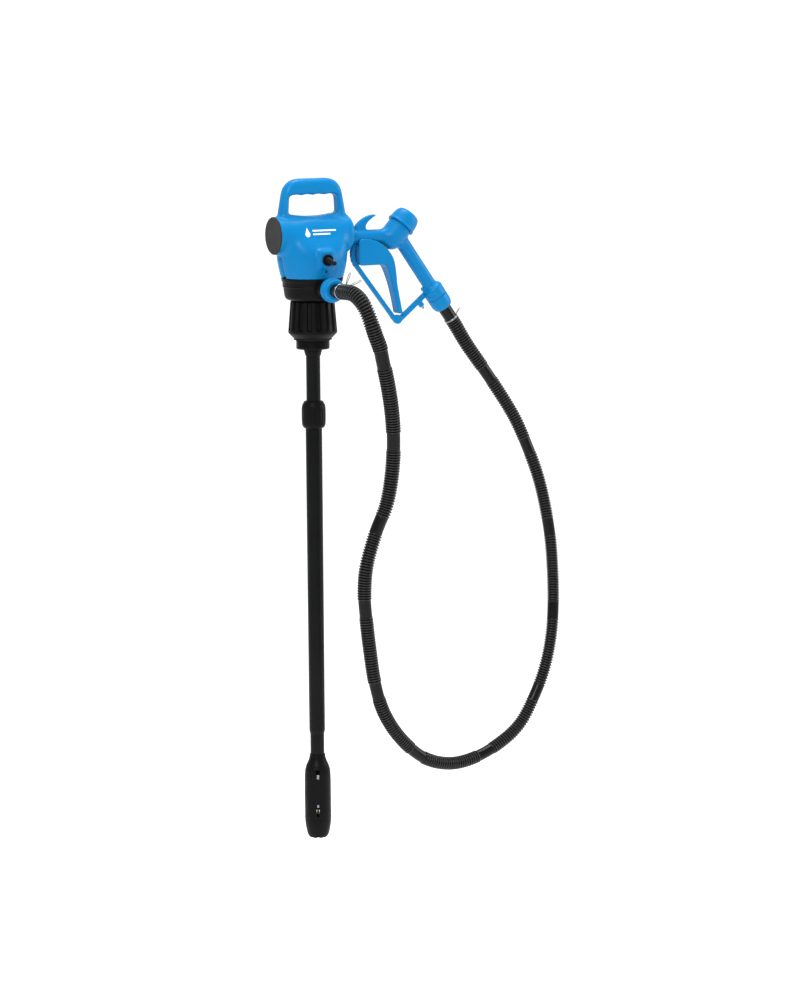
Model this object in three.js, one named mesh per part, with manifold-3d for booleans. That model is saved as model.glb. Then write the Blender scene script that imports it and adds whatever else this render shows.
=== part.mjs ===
// A rechargeable drum barrel pump, in millimetres, +Z up.
//
// A nut screws into the drum's 2 inch bung. A head with a carrying handle turns on the nut, and a
// telescopic tube hangs below it with a small submersible motor in its foot. The liquid comes up the
// tube, leaves the head by a union facing -Y, and goes through a corrugated hose to a hand nozzle
// whose spout rests in a holster on the head's +X end. The origin is on the tube's axis, on the
// plane where the nut's gasket seats on the drum.

import * as THREE from 'three';
import { mergeVertices } from 'three/addons/utils/BufferGeometryUtils.js';
import Module from 'manifold-3d';

const wasm = await Module();
wasm.setup();

// ---------------------------------------------------------------- driving dimensions

const GAP = 0.3; // clearance between pieces that touch or fit in each other
const ROUND = 20; // segments of a large turned piece
const SMALL = 12; // segments of a small turned piece

const THREAD_R = 29.75; // 2 inch bung thread
const NUT_BORE = 20;
const NUT_TOP = 69; // top of the ribbed nut
const BASE_TOP = 109; // joint between the black base and the blue head

const INNER_TUBE_R = 12.5;
const INNER_TUBE_END = -460;
const OUTER_TUBE_R = 14.6;
const OUTER_TUBE_BORE = 12.8;
const OUTER_TUBE_TOP = -113;
const OUTER_TUBE_END = -744;
const NECK_START = -700; // where the outer tube steps in to enter the foot
const NECK_R = 12.4;

const FOOT_TOP = -738;
const FOOT_R = 23.5;
const FOOT_SEAM = -855;
const FOOT_END = -889.5;
const IMPELLER_Z = -862;
const PORT_ANGLE = -2.02; // of the first of the four ports around the foot

const BARREL_R = 33; // the head's horizontal barrel
const BARREL_Z = 184;
const BARREL_HALF = 72;
const WALL = 3;
const SKIRT_TOP = 217;

const HANDLE_FOOT = 218; // joint between the shells and the handle's bow
const HANDLE_TOP = 282;
const HANDLE_DEPTH = 26;

const SWITCH_Z = 143;
const SWITCH_FACE = 62.3; // how far the switch pad stands forward of the tube's axis
const LED_Z = 122;

const OUTLET_Z = 92;
const OUTLET_NUT_R = 21.5;
const OUTLET_FACE = 94; // front of the outlet's union nut

const SPOUT_Z = 176; // axis of the spout and its holster
const SPOUT_R = 12;
const SPOUT_TIP = 10;

const VALVE = { x: 173, z: 192, tilt: 48 }; // rim of the valve chamber and the angle of its axis
const CHAMBER_R = 22;
const GRIP = { x: 174, z: 167, tilt: -55.2 }; // start of the nozzle's grip tube and its angle
const GRIP_R = 11.4;
const GRIP_COLLAR = 104; // distances along the grip
const GRIP_NUT = 124;
const GRIP_END = 149;

const TRIGGER_PIVOT = [104.6, 0, 149];
const LATCH = { x: 209, z: 57.5, tilt: GRIP.tilt }; // where the hold-open pin crosses the guard

const HOSE_R = 12;
const HOSE_STEPS = 64;

// The hose's centre line, from the outlet to the nozzle.
const HOSE_ROUTE = [
  [0, -94.7, 92], [0, -115, 92], [0, -132, 92.5], [0.5, -147, 92.5], [2.5, -161, 90],
  [6, -173, 83], [10, -182, 72], [15, -187.5, 56.5], [21, -190, 38], [28.5, -189, 19],
  [37, -187, 0], [45, -183, -27], [56, -177, -63], [68, -168, -110], [77, -157, -165],
  [79, -146, -225], [73, -136, -280], [56, -127, -330], [41, -119, -392], [41, -111, -440],
  [46, -107, -485], [56, -101, -545], [67, -96, -600], [86, -91, -655], [121, -85, -706],
  [172, -79, -749], [225, -73, -766], [275, -68, -763], [330, -64, -743], [376, -60, -712],
  [412, -55, -660], [435, -51, -611], [450, -47, -555], [457, -42, -494], [458, -38, -439],
  [456, -34, -384], [447, -29, -318], [435, -25, -266], [416, -20, -212], [394, -15, -161],
  [365, -9, -112], [334, -4, -66], [302, -1, -21], [280, 0, 14.5], [266, 0, 34.7],
];

// ---------------------------------------------------------------- finishes

function finish(color, roughness, metalness = 0) {
  return new THREE.MeshStandardMaterial({ color, roughness, metalness });
}

const BLUE = finish(0x0a86cf, 0.35);
const BLACK = finish(0x1c1e1e, 0.5);
const GREY = finish(0x424242, 0.7);
const TUBE = finish(0x17181a, 0.45);
const RUBBER = finish(0x101112, 0.8);
const STEEL = finish(0xb8bcc0, 0.3, 1);
const BRASS = finish(0xb08d3c, 0.35, 1);
const CELL = finish(0x3a7a4a, 0.5);
const BOARD = finish(0x1d5a34, 0.6);
const LENS = finish(0x8a1010, 0.2);

// ---------------------------------------------------------------- shapes

/** A closed solid from a three.js geometry, with its faces pointing out. */
function solid(geometry) {
  const plain = geometry.clone();
  plain.deleteAttribute('normal');
  plain.deleteAttribute('uv');
  const merged = mergeVertices(plain, 1e-4);
  const position = merged.attributes.position;
  const corner = [new THREE.Vector3(), new THREE.Vector3(), new THREE.Vector3()];
  const triangles = [];
  let volume = 0;
  for (let i = 0; i < merged.index.count; i += 3) {
    const abc = [0, 1, 2].map((k) => merged.index.getX(i + k));
    if (new Set(abc).size < 3) continue;
    triangles.push(abc);
    abc.forEach((v, k) => corner[k].fromBufferAttribute(position, v));
    volume += corner[0].dot(corner[1].cross(corner[2]));
  }
  const outward = volume < 0 ? triangles.map((abc) => abc.reverse()) : triangles;
  return new wasm.Manifold(new wasm.Mesh({
    numProp: 3,
    vertProperties: new Float32Array(position.array),
    triVerts: new Uint32Array(outward.flat()),
  }));
}

/** A profile of [radius, height] points turned about an axis. It closes on the axis or on itself. */
function turned(profile, segments = ROUND, at = [0, 0, 0], toward = [0, 0, 1]) {
  const points = profile.map(([r, z]) => new THREE.Vector2(r, z));
  if (profile[0][0] > 0) points.push(points[0].clone());
  const geometry = new THREE.LatheGeometry(points, segments);
  geometry.rotateX(Math.PI / 2);
  const up = new THREE.Vector3(0, 0, 1);
  const axis = new THREE.Vector3(...toward).normalize();
  geometry.applyQuaternion(new THREE.Quaternion().setFromUnitVectors(up, axis));
  geometry.translate(...at);
  return solid(geometry);
}

/** A round rod between two heights of an axis. */
function rod(radius, from, to, segments = SMALL, at = [0, 0, 0], toward = [0, 0, 1]) {
  return turned([[0, from], [radius, from], [radius, to], [0, to]], segments, at, toward);
}

/** A ring between two radii and two heights of an axis. */
function ring(inner, outer, from, to, segments = ROUND, at = [0, 0, 0], toward = [0, 0, 1]) {
  const profile = [[inner, from], [outer, from], [outer, to], [inner, to]];
  return turned(profile, segments, at, toward);
}

function block([x0, x1], [y0, y1], [z0, z1]) {
  const geometry = new THREE.BoxGeometry(x1 - x0, y1 - y0, z1 - z0);
  geometry.translate((x0 + x1) / 2, (y0 + y1) / 2, (z0 + z1) / 2);
  return solid(geometry);
}

/** An outline in X and Z, as a Shape or a list of points. */
function outline(points) {
  if (!Array.isArray(points)) return points;
  return new THREE.Shape(points.map(([x, z]) => new THREE.Vector2(x, z)));
}

/** An X-Z outline made thick from y0 to y1, with its edges rounded by bevel. */
function plate(points, y0, y1, bevel = 0) {
  const geometry = new THREE.ExtrudeGeometry(outline(points), {
    depth: y1 - y0 - 2 * bevel,
    curveSegments: 4,
    bevelEnabled: bevel > 0,
    bevelThickness: bevel,
    bevelSize: bevel,
    bevelOffset: -bevel,
    bevelSegments: 1,
  });
  geometry.rotateX(Math.PI / 2);
  geometry.translate(0, y1 - bevel, 0);
  return solid(geometry);
}

/** A band of the given widths along a line of X-Z points. */
function band(points, widths) {
  const sides = [1, -1].map((side) => points.map(([x, z], i) => {
    const [ax, az] = points[Math.max(i - 1, 0)];
    const [bx, bz] = points[Math.min(i + 1, points.length - 1)];
    const length = Math.hypot(bx - ax, bz - az);
    const half = side * widths[i] / 2;
    return [x - half * (bz - az) / length, z + half * (bx - ax) / length];
  }));
  return [...sides[0], ...sides[1].reverse()];
}

/** A round tube, solid all through, along a smooth curve. */
function cord(points, radius, sides, steps, closed = false) {
  const section = new THREE.Shape();
  for (let i = 0; i < sides; i += 1) {
    const a = (2 * Math.PI * i) / sides;
    section[i ? 'lineTo' : 'moveTo'](radius * Math.cos(a), radius * Math.sin(a));
  }
  const places = points.map((p) => new THREE.Vector3(...p));
  const path = new THREE.CatmullRomCurve3(places, closed, 'centripetal');
  return solid(new THREE.ExtrudeGeometry(section, { steps, extrudePath: path }));
}

function join(...solids) {
  return solids.reduce((whole, next) => whole.add(next));
}

function cut(whole, ...tools) {
  return tools.reduce((rest, tool) => rest.subtract(tool), whole);
}

/** Copies of a solid's maker around the Z axis. */
function around(count, make) {
  return Array.from({ length: count }, (_, i) => make((2 * Math.PI * i) / count));
}

/** A block reaching out from the Z axis at an angle. */
function spoke(angle, [r0, r1], thickness, [z0, z1]) {
  const geometry = new THREE.BoxGeometry(r1 - r0, thickness, z1 - z0);
  geometry.translate((r0 + r1) / 2, 0, (z0 + z1) / 2);
  geometry.rotateZ(angle);
  return solid(geometry);
}

/** A point on an axis that starts at {x, z} in the plane Y = 0 and rises at its tilt. */
function along({ x, z, tilt }, distance) {
  const angle = THREE.MathUtils.degToRad(tilt);
  return [x + distance * Math.cos(angle), 0, z + distance * Math.sin(angle)];
}

/** The same axis as the last two arguments of turned, rod and ring. */
function axisOf(line) {
  const [x, , z] = along(line, 0);
  const [ax, , az] = along(line, 1);
  return [[x, 0, z], [ax - x, 0, az - z]];
}

const pump = new THREE.Group();

/** Adds a solid to the pump as a named mesh. */
function piece(name, body, material) {
  const { vertProperties, triVerts } = body.getMesh();
  const geometry = new THREE.BufferGeometry();
  geometry.setAttribute('position', new THREE.BufferAttribute(vertProperties, 3));
  geometry.setIndex(new THREE.BufferAttribute(triVerts, 1));
  const mesh = new THREE.Mesh(geometry, material.clone());
  mesh.name = name;
  pump.add(mesh);
}

// ---------------------------------------------------------------- nut in the bung

function bungNut() {
  const ribTop = 38.5;
  const ribFoot = 42.8;
  const body = turned([
    [THREAD_R, -16], [THREAD_R, 2.7], [33.5, 2.7], [43, 12.7], [43, 17], [40, 18.5], [36, NUT_TOP],
    [NUT_BORE, NUT_TOP], [NUT_BORE, -16],
  ]);
  const rib = [[34.5, 16], [ribFoot, 16], [ribTop, NUT_TOP], [34.5, NUT_TOP]];
  const ribs = around(16, (angle) => {
    const geometry = new THREE.ExtrudeGeometry(outline(rib), { depth: 5, bevelEnabled: false });
    geometry.rotateX(Math.PI / 2);
    geometry.translate(0, 2.5, 0);
    geometry.rotateZ(angle);
    return solid(geometry);
  });
  piece('bung_nut', join(body, ...ribs), BLACK);
  piece('bung_gasket', ring(THREAD_R + GAP, 33.4, 0, 2.4), RUBBER);
}

// ---------------------------------------------------------------- head

const TO_FRONT = [0, -1, 0];

/** The black base: a neck that turns in the nut, a chamber, and the threaded outlet. */
function baseHousing() {
  const neck = NUT_BORE - GAP - 0.1;
  const bore = INNER_TUBE_R + GAP;
  const shell = turned([
    [0, 103], [50, 103], [50, BASE_TOP], [54.5, BASE_TOP], [52.3, 94.2], [51.3, 93], [49.2, 80],
    [48, 74], [44, 70.5], [38, NUT_TOP + GAP], [neck, NUT_TOP + GAP], [neck, 2], [bore, 2],
    [bore, 75], [30, 75], [30, 99], [0, 99],
  ]);
  const outlet = [[0, 0, OUTLET_Z], TO_FRONT];
  const boss = rod(16.8, 40, 66, ROUND, ...outlet);
  const thread = rod(16.6, 60, 84, ROUND, ...outlet);
  const passage = rod(7, 25, 85, SMALL, ...outlet);
  const gland = rod(2.5 + GAP, 98, 104, 12);
  piece('base_housing', cut(join(shell, boss, thread), passage, gland), BLACK);
}

/** The outline of the handle, with a finger gap that is scalloped for four fingers on top. */
function handleShape() {
  const foot = 64;
  const top = HANDLE_TOP;
  const shape = new THREE.Shape();
  shape.moveTo(foot, 196);
  shape.lineTo(foot, 218);
  shape.lineTo(foot - 7, 252);
  shape.bezierCurveTo(foot - 10, top - 10, foot - 22, top, foot - 40, top);
  shape.lineTo(-foot + 40, top);
  shape.bezierCurveTo(-foot + 22, top, -foot + 10, top - 10, -foot + 7, 252);
  shape.lineTo(-foot, 218);
  shape.lineTo(-foot, 196);
  const side = 47.5;
  const under = 252.4;
  const gap = new THREE.Path();
  gap.moveTo(-side + 11, 221);
  gap.quadraticCurveTo(-side, 223, -side, 234);
  gap.lineTo(-side + 2, 241);
  gap.quadraticCurveTo(-side + 2, under, -side + 14, under);
  [-22, 0, 22, side - 14].forEach((x, i, knuckles) => {
    const last = i ? knuckles[i - 1] : -side + 14;
    gap.quadraticCurveTo((last + x) / 2, under + 3, x, under);
  });
  gap.quadraticCurveTo(side - 2, under, side - 2, 241);
  gap.lineTo(side, 234);
  gap.quadraticCurveTo(side, 223, side - 11, 221);
  gap.quadraticCurveTo(0, 213, -side + 12, 220.8);
  shape.holes.push(gap);
  return shape;
}

/** The head's skirt: round at its rim, and sloping back to the barrel in front and behind. */
function skirt(inset) {
  const round = turned([
    [0, BASE_TOP + GAP - inset], [54.5 - inset, BASE_TOP + GAP - inset], [59.3 - inset, 128],
    [62 - inset, 147], [63 - inset, 165], [60 - inset, 190], [48 - inset, 206], [0, SKIRT_TOP - inset],
  ], 28);
  const slope = [
    [64, 100], [64, 142], [61, 149], [55, 159], [47, 170], [38, 182], [32, 196], [22, 212], [12, 220],
  ].map(([y, z]) => [y - inset, z]);
  const profile = [...slope, ...slope.map(([y, z]) => [-y, z]).reverse()];
  const geometry = new THREE.ExtrudeGeometry(outline(profile), { depth: 160, bevelEnabled: false });
  geometry.rotateX(Math.PI / 2);
  geometry.translate(0, 80, 0);
  geometry.rotateZ(Math.PI / 2);
  return round.intersect(solid(geometry));
}

const SCREWS = [[-57, 228], [57, 228], [-36, 269], [36, 269], [-46, 124], [46, 124]];

/** A screw with its head at y, or its hole when grown. */
function screw([x, z], y, grow = 0) {
  const tip = -9 - grow;
  const seat = y - 3 - grow;
  const profile = [
    [0, tip], [1.5 + grow, tip], [1.5 + grow, seat], [3.2 + grow, seat], [3.2 + grow, y], [0, y],
  ];
  return turned(profile, 12, [x, 0, z], [0, 1, 0]);
}

/** The two blue shells and the handle's bow over them, all split on the plane Y = 0. */
function headShells() {
  const barrelAxis = [[0, 0, BARREL_Z], [1, 0, 0]];
  const barrel = turned([
    [0, -BARREL_HALF], [BARREL_R, -BARREL_HALF], [BARREL_R, 60], [31, 67], [25, BARREL_HALF],
    [0, BARREL_HALF],
  ], ROUND, ...barrelAxis);
  const handle = plate(handleShape(), -HANDLE_DEPTH / 2, HANDLE_DEPTH / 2, 5);
  const pad = block([-15, 15], [-SWITCH_FACE, -45], [128, 160]);
  const outer = join(skirt(0), barrel, handle, pad);

  const hollow = join(
    skirt(WALL),
    turned([
      [0, -BARREL_HALF - 1], [BARREL_R - WALL, -BARREL_HALF - 1], [BARREL_R - WALL, 58], [26, 67],
      [0, 67],
    ], ROUND, ...barrelAxis),
  );
  const bosses = SCREWS.slice(4).map(([x, z]) => rod(5, -36, 36, 12, [x, 0, z], [0, 1, 0]));
  const bossed = join(...bosses).intersect(outer);
  const screwHeads = SCREWS.map(([, z]) => (z > 200 ? 10 : 24));
  const screwHoles = SCREWS.map((place, i) => (
    join(
      screw(place, screwHeads[i], GAP),
      rod(3.5, screwHeads[i] - 1, 45, 12, [place[0], 0, place[1]], [0, 1, 0]),
    )
  ));
  const whole = cut(
    join(cut(outer, hollow), bossed),
    ...screwHoles,
    block([-11, 11], [-SWITCH_FACE + WALL, -40], [131, 157]),
    rod(8.2, 40, 80, SMALL, [0, 0, SWITCH_Z], TO_FRONT),
    rod(1.9, 40, 80, 12, [0, 0, LED_Z], TO_FRONT),
    rod(15 + GAP, 40, 80, ROUND, [0, 0, SPOUT_Z], [1, 0, 0]),
  );
  const front = [-90, -GAP / 2];
  const rear = [GAP / 2, 90];
  const below = [90, HANDLE_FOOT];
  const above = [HANDLE_FOOT + GAP, HANDLE_TOP + 1];
  const part = (y, z) => whole.intersect(block([-100, 100], y, z));
  piece('housing_front_shell', part(front, below), BLUE);
  piece('housing_rear_shell', part(rear, below), BLUE);
  piece('handle_front', part(front, above), BLUE);
  piece('handle_rear', part(rear, above), BLUE);
  SCREWS.forEach((place, i) => piece(`housing_screw_${i + 1}`, screw(place, screwHeads[i]), STEEL));
}

/** The cap that closes the barrel's battery bay, with its seal. */
function batteryCap() {
  const axis = [[0, 0, BARREL_Z], [-1, 0, 0]];
  const face = BARREL_HALF + GAP;
  piece('battery_cap', turned([
    [0, face - 8], [26, face - 8], [26, face - 3], [29.5, face - 2], [29.5, face], [33, face],
    [33, face + 2], [32, face + 2.7], [0, face + 2.7],
  ], ROUND, ...axis), GREY);
  piece('cap_seal', ring(26 + GAP, 29.4, face - 7.5, face - 3.5, ROUND, ...axis), RUBBER);
}

/** Four cells in the barrel, and the holder at their inner end. */
function battery() {
  [[-9.4, -9.4], [9.4, -9.4], [-9.4, 9.4], [9.4, 9.4]].forEach(([y, z], i) => {
    const cell = rod(9, -63, 2, SMALL, [0, y, BARREL_Z + z], [1, 0, 0]);
    piece(`battery_cell_${i + 1}`, cell, CELL);
  });
  piece('battery_holder', ring(4, 24, 2.4, 4.4, SMALL, [0, 0, BARREL_Z], [1, 0, 0]), BLACK);
  piece('control_board', block([-24, 24], [20, 21.6], [114, 148]), BOARD);
}

/** The holster that the nozzle's spout rests in. */
function holster() {
  const profile = [
    [0, 5], [15, 5], [15, BARREL_HALF + 1], [SPOUT_R + 0.7, BARREL_HALF + 1], [SPOUT_R + 0.7, 7.5],
    [0, 7.5],
  ];
  piece('nozzle_holster', turned(profile, ROUND, [0, 0, SPOUT_Z], [1, 0, 0]), BLACK);
}

/** The power switch under its rubber boot, and the charge light below it. */
function powerSwitch() {
  const axis = [[0, 0, SWITCH_Z], TO_FRONT];
  piece('switch_body', block([-8, 8], [-58, -43], [SWITCH_Z - 9, SWITCH_Z + 10]), BLACK);
  const nut = [[8.2, SWITCH_FACE + GAP], [10.2, SWITCH_FACE + GAP], [10.2, 65.6], [9.4, 67], [8.2, 67]];
  piece('switch_nut', turned(nut, 24, ...axis), RUBBER);
  const ball = 7.6;
  const pivot = SWITCH_FACE;
  const dome = [0.1, 0.35, 0.6, 0.85].map((a) => [ball * Math.cos(a), pivot + ball * Math.sin(a)]);
  piece('toggle_boot', turned([
    [2.4, pivot], ...dome, [4.4, pivot + 10], [3.7, 89], [3, 92.5], [0, 93.4], [0, 90], [2.4, 88.5],
  ], SMALL, ...axis), RUBBER);
  piece('toggle_lever', turned([
    [0, 59], [3.2, 59], [3.2, 61], [2, 62], [2, 88], [0, 88],
  ], 12, ...axis), STEEL);
  piece('charge_light', turned([
    [0, 50], [1.6, 50], [1.6, 58.3], [0.8, 59.2], [0, 59.4],
  ], 12, [0, 0, LED_Z], TO_FRONT), LENS);
}

/** The union at the outlet: nut, washer and hose tail. */
function outletUnion() {
  const axis = [[0, 0, OUTLET_Z], TO_FRONT];
  piece('outlet_washer', ring(9.3, 16.4, 84.3, 86.1, ROUND, ...axis), RUBBER);
  piece('outlet_hose_tail', turned([
    [6.5, 86.4], [16.6, 86.4], [16.6, 89.3], [9, 89.3], [9, OUTLET_FACE], [6.5, OUTLET_FACE],
  ], ROUND, ...axis), BLACK);
  piece('outlet_nut', turned([
    [17, 74], [20, 74], [OUTLET_NUT_R, 75.5], [OUTLET_NUT_R, 84], [20, 86], [19, 92.5], [17.5, OUTLET_FACE],
    [9.4, OUTLET_FACE], [9.4, 89.6], [17, 89.6],
  ], ROUND, ...axis), BLUE);
}

/** A double-ear wire clamp around the hose, its ears pointing up from a place on an axis. */
function wireClamp(place, toward, ears) {
  const up = new THREE.Vector3(0, 0, 1);
  const turn = new THREE.Quaternion().setFromUnitVectors(up, new THREE.Vector3(...toward).normalize());
  const wire = 0.9;
  const ringR = HOSE_R + 1 + wire;
  const torus = new THREE.TorusGeometry(ringR, wire, 4, 16);
  torus.applyQuaternion(turn);
  torus.translate(...place);
  const loops = ears.map(([root, tip, wide]) => {
    const mid = root.map((c, k) => (c + tip[k]) / 2 + wide[k]);
    const back = root.map((c, k) => (c + tip[k]) / 2 - wide[k]);
    return cord([root, mid, tip, back], wire, 4, 10, true);
  });
  return join(solid(torus), ...loops);
}

function hoseClamps() {
  const top = OUTLET_Z + HOSE_R + 1.9;
  piece('outlet_clamp', wireClamp([0, -116, OUTLET_Z], TO_FRONT, [
    [[4, -116, top - 0.5], [14, -119, top + 20], [1.5, 0, 1]],
    [[7, -116, top - 2], [33, -119, top + 5], [0, 1.5, 0]],
  ]), STEEL);
  const [x, , z] = along(GRIP, 174);
  const side = along({ x, z, tilt: GRIP.tilt + 90 }, HOSE_R + 1.9);
  const tip = along({ x, z, tilt: GRIP.tilt + 110 }, HOSE_R + 18);
  piece('nozzle_clamp', wireClamp([x, 0, z], axisOf(GRIP)[1], [
    [side, tip, [0, 1.5, 0]],
  ]), STEEL);
}

/** The hose: one plain tube along its whole route. */
function hose() {
  const end = along(GRIP, GRIP_END + 2 * GAP);
  piece('hose', cord([...HOSE_ROUTE, end], HOSE_R, 8, HOSE_STEPS), RUBBER);
}

// ---------------------------------------------------------------- telescopic tube and foot

/** The fixed upper tube, its bushing in the nut, and the motor's cable inside it. */
function innerTube() {
  piece('inner_tube', ring(10.8, INNER_TUBE_R, INNER_TUBE_END, 74.5), TUBE);
  const bore = INNER_TUBE_R + GAP;
  piece('tube_bushing', turned([
    [bore, -28], [13.4, -28], [15.8, -19.5], [15.8, -16], [19.5, -15.5], [19.5, 1.6], [bore, 1.6],
  ]), BLACK);
  piece('motor_cable', rod(2.5, -760, 110, 8), RUBBER);
}

/** The sliding lower tube with its seal, and the collar that locks it. */
function lowerTube() {
  piece('outer_tube', turned([
    [10.8, OUTER_TUBE_END], [NECK_R, OUTER_TUBE_END], [NECK_R, NECK_START], [14, NECK_START + 4],
    [OUTER_TUBE_R, OUTER_TUBE_TOP], [OUTER_TUBE_BORE, OUTER_TUBE_TOP], [OUTER_TUBE_BORE, -692],
    [10.8, NECK_START + 2],
  ]), TUBE);
  const topSeal = [OUTER_TUBE_BORE, 14.4, OUTER_TUBE_TOP + GAP, -109.6];
  piece('tube_seal', ring(...topSeal), RUBBER);
  piece('lock_collar', turned([
    [OUTER_TUBE_R + GAP, -156], [15.6, -156], [19.6, -148], [21, -140], [21.2, -124], [18.6, -114],
    [17.4, -109.5], [16, -108], [OUTER_TUBE_BORE + 0.2, -108], [OUTER_TUBE_BORE + 0.2, -109.3],
    [OUTER_TUBE_R + GAP, -109.3],
  ]), BLACK);
}

/** The foot: motor housing, motor, shaft, impeller and strainer. */
function foot() {
  const inner = 20.9;
  const shell = turned([
    [NECK_R + GAP, FOOT_TOP], [13.6, FOOT_TOP], [14.8, -747], [19.5, -757.5], [22.8, -768], [23.3, -779],
    [FOOT_R, FOOT_SEAM], [inner, FOOT_SEAM], [inner, -766], [17, -757], [NECK_R + GAP, -748],
  ]);
  const fins = around(3, (angle) => spoke(angle, [17.8, 22], 3, [-830, -776]));
  const ports = (thickness, z) => (
    around(4, (angle) => spoke(angle + PORT_ANGLE, [15, 30], thickness, z))
  );
  const housing = cut(join(shell, ...fins), ...ports(6, [-783, -765]), ...ports(5, [-849, -827]));
  piece('motor_housing', housing, BLACK);
  piece('submersible_motor', turned([
    [0, -836], [6, -836], [6, -833], [17.5, -833], [17.5, -774], [6, -770], [2.9, -762],
    [2.9, -761], [0, -761],
  ], 24), STEEL);
  piece('shaft_seal', ring(2.3, 5.6, -839.3, -836.3, 12), RUBBER);
  piece('motor_shaft', rod(2, -868, -836.3, 12), STEEL);
  const vanes = around(5, (angle) => spoke(angle, [4, 16.5], 1.8, [IMPELLER_Z + 2, -850]));
  const rotor = join(
    ring(2.3, 5, IMPELLER_Z - 4, -846, SMALL),
    ring(2.3, 17.5, IMPELLER_Z, IMPELLER_Z + 2.4, 24),
    ...vanes,
  );
  piece('impeller', rotor, BRASS);
  const cup = turned([
    [0, FOOT_END], [12, FOOT_END], [17.5, -886], [20.4, -878], [22.4, -866.5], [23.4, FOOT_SEAM - GAP],
    [inner, FOOT_SEAM - GAP], [19.8, -866], [17.5, -876], [12, -884], [0, -886.5],
  ]);
  const intakes = around(8, (angle) => spoke(angle + PORT_ANGLE, [7, 26], 4, [-892, -885]));
  piece('strainer_cap', cut(cup, ...intakes), BLACK);
}

// ---------------------------------------------------------------- nozzle

/** The horn on the spout that hangs the nozzle on a drum's rim. */
function hookShape() {
  const horn = new THREE.Shape();
  horn.moveTo(82, 184);
  horn.quadraticCurveTo(92, 216, 126, 213.8);
  horn.lineTo(126, 212.6);
  horn.quadraticCurveTo(108, 206, 103.5, 195);
  horn.quadraticCurveTo(103.5, 190, 107, 184);
  return horn;
}

function nozzleBody() {
  const chamberAxis = axisOf(VALVE);
  const gripAxis = axisOf(GRIP);
  const spoutAxis = [[0, 0, SPOUT_Z], [1, 0, 0]];
  const body = join(
    turned([
      [0, -46], [9, -46], [16, -41], [CHAMBER_R, -30], [CHAMBER_R, 0], [21, 0], [21, 12], [0, 12],
    ], ROUND, ...chamberAxis),
    turned([
      [0, SPOUT_TIP], [SPOUT_R - 1.5, SPOUT_TIP], [SPOUT_R, SPOUT_TIP + 4], [SPOUT_R, 150], [0, 150],
    ], ROUND, ...spoutAxis),
    turned([
      [0, 0], [GRIP_R, 0], [GRIP_R, GRIP_COLLAR - 3], [18, GRIP_COLLAR], [19, GRIP_COLLAR + 2],
      [19, GRIP_NUT - GAP], [15, GRIP_NUT - GAP], [15, GRIP_NUT + 8], [0, GRIP_NUT + 8],
    ], ROUND, ...gripAxis),
    plate(hookShape(), -4.5, 4.5),
    block([97.5, 111.5], [-11.5, 11.5], [142, 170]),
  );
  return cut(
    body,
    rod(18, -22, 13, ROUND, ...chamberAxis),
    rod(11, -27, -21, SMALL, ...chamberAxis),
    turned([[0, -41], [9, -41], [14.5, -35], [14.5, -26], [0, -26]], SMALL, ...chamberAxis),
    rod(3 + GAP, -47, -40, 12, ...chamberAxis),
    rod(9, SPOUT_TIP - 1, 140, SMALL, ...spoutAxis),
    rod(8, -2, GRIP_NUT + 9, SMALL, ...gripAxis),
    rod(2.5 + GAP, -20, 20, 12, TRIGGER_PIVOT, [0, 1, 0]),
  );
}

/** The V-shaped guard below the spout, with the boss of the hold-open pin. */
function nozzleGuard() {
  const front = [[89, 170], [80.5, 157], [79, 143], [84, 128], [158, 31], [163, 26]];
  const rear = [[167, 24], [219, 67]];
  const guard = join(
    plate(band(front, [9, 8, 7, 6.5, 6.5, 6.5]), -4, 4, 1),
    plate(band(rear, [9, 9]), -4, 4, 1),
    rod(8, -4.5, 4.5, SMALL, [166, 0, 27.5], [0, 1, 0]),
    rod(5, -2, 11, SMALL, ...axisOf(LATCH)),
  );
  return cut(
    guard,
    rod(SPOUT_R + GAP, 60, 120, ROUND, [0, 0, SPOUT_Z], [1, 0, 0]),
    rod(GRIP_R + GAP, 60, 110, ROUND, ...axisOf(GRIP)),
    rod(19 + GAP, GRIP_COLLAR - 4, 160, ROUND, ...axisOf(GRIP)),
    rod(2.5 + GAP, -20, 20, 12, ...axisOf(LATCH)),
  );
}

/** The trigger: two cheeks astride the body's lug, a cam bar and a finger bar. */
function trigger() {
  const cheek = new THREE.Shape();
  cheek.moveTo(85, 134);
  cheek.lineTo(85, 163);
  cheek.quadraticCurveTo(86, 173.5, 99, 173.5);
  cheek.quadraticCurveTo(125, 171.5, 141.5, 154.6);
  cheek.quadraticCurveTo(158, 137, 159.8, 112);
  cheek.lineTo(162.5, 88);
  cheek.lineTo(166, 67.6);
  cheek.lineTo(172.5, 38);
  cheek.lineTo(163.5, 38);
  cheek.lineTo(158.5, 67.6);
  cheek.lineTo(153.5, 88);
  cheek.quadraticCurveTo(144, 118, 139, 123.6);
  cheek.quadraticCurveTo(136, 126, 128, 126);
  cheek.lineTo(94, 126);
  cheek.quadraticCurveTo(85, 127, 85, 134);
  const cam = along(VALVE, -55.7);
  return cut(
    join(
      cut(
        plate(cheek, -15.2, 15.2, 1),
        block([80, 151], [-12.4, 12.4], [129, 180]),
        block([80, 94], [-12.4, 12.4], [120, 180]),
        block([120, 180], [9, 20], [30, 119]),
        block([120, 180], [-20, -9], [30, 119]),
      ),
      rod(3, -13, 13, SMALL, [cam[0], 0, cam[2]], [0, 1, 0]),
    ),
    rod(2.5 + GAP, -20, 20, 12, TRIGGER_PIVOT, [0, 1, 0]),
  );
}

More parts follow.
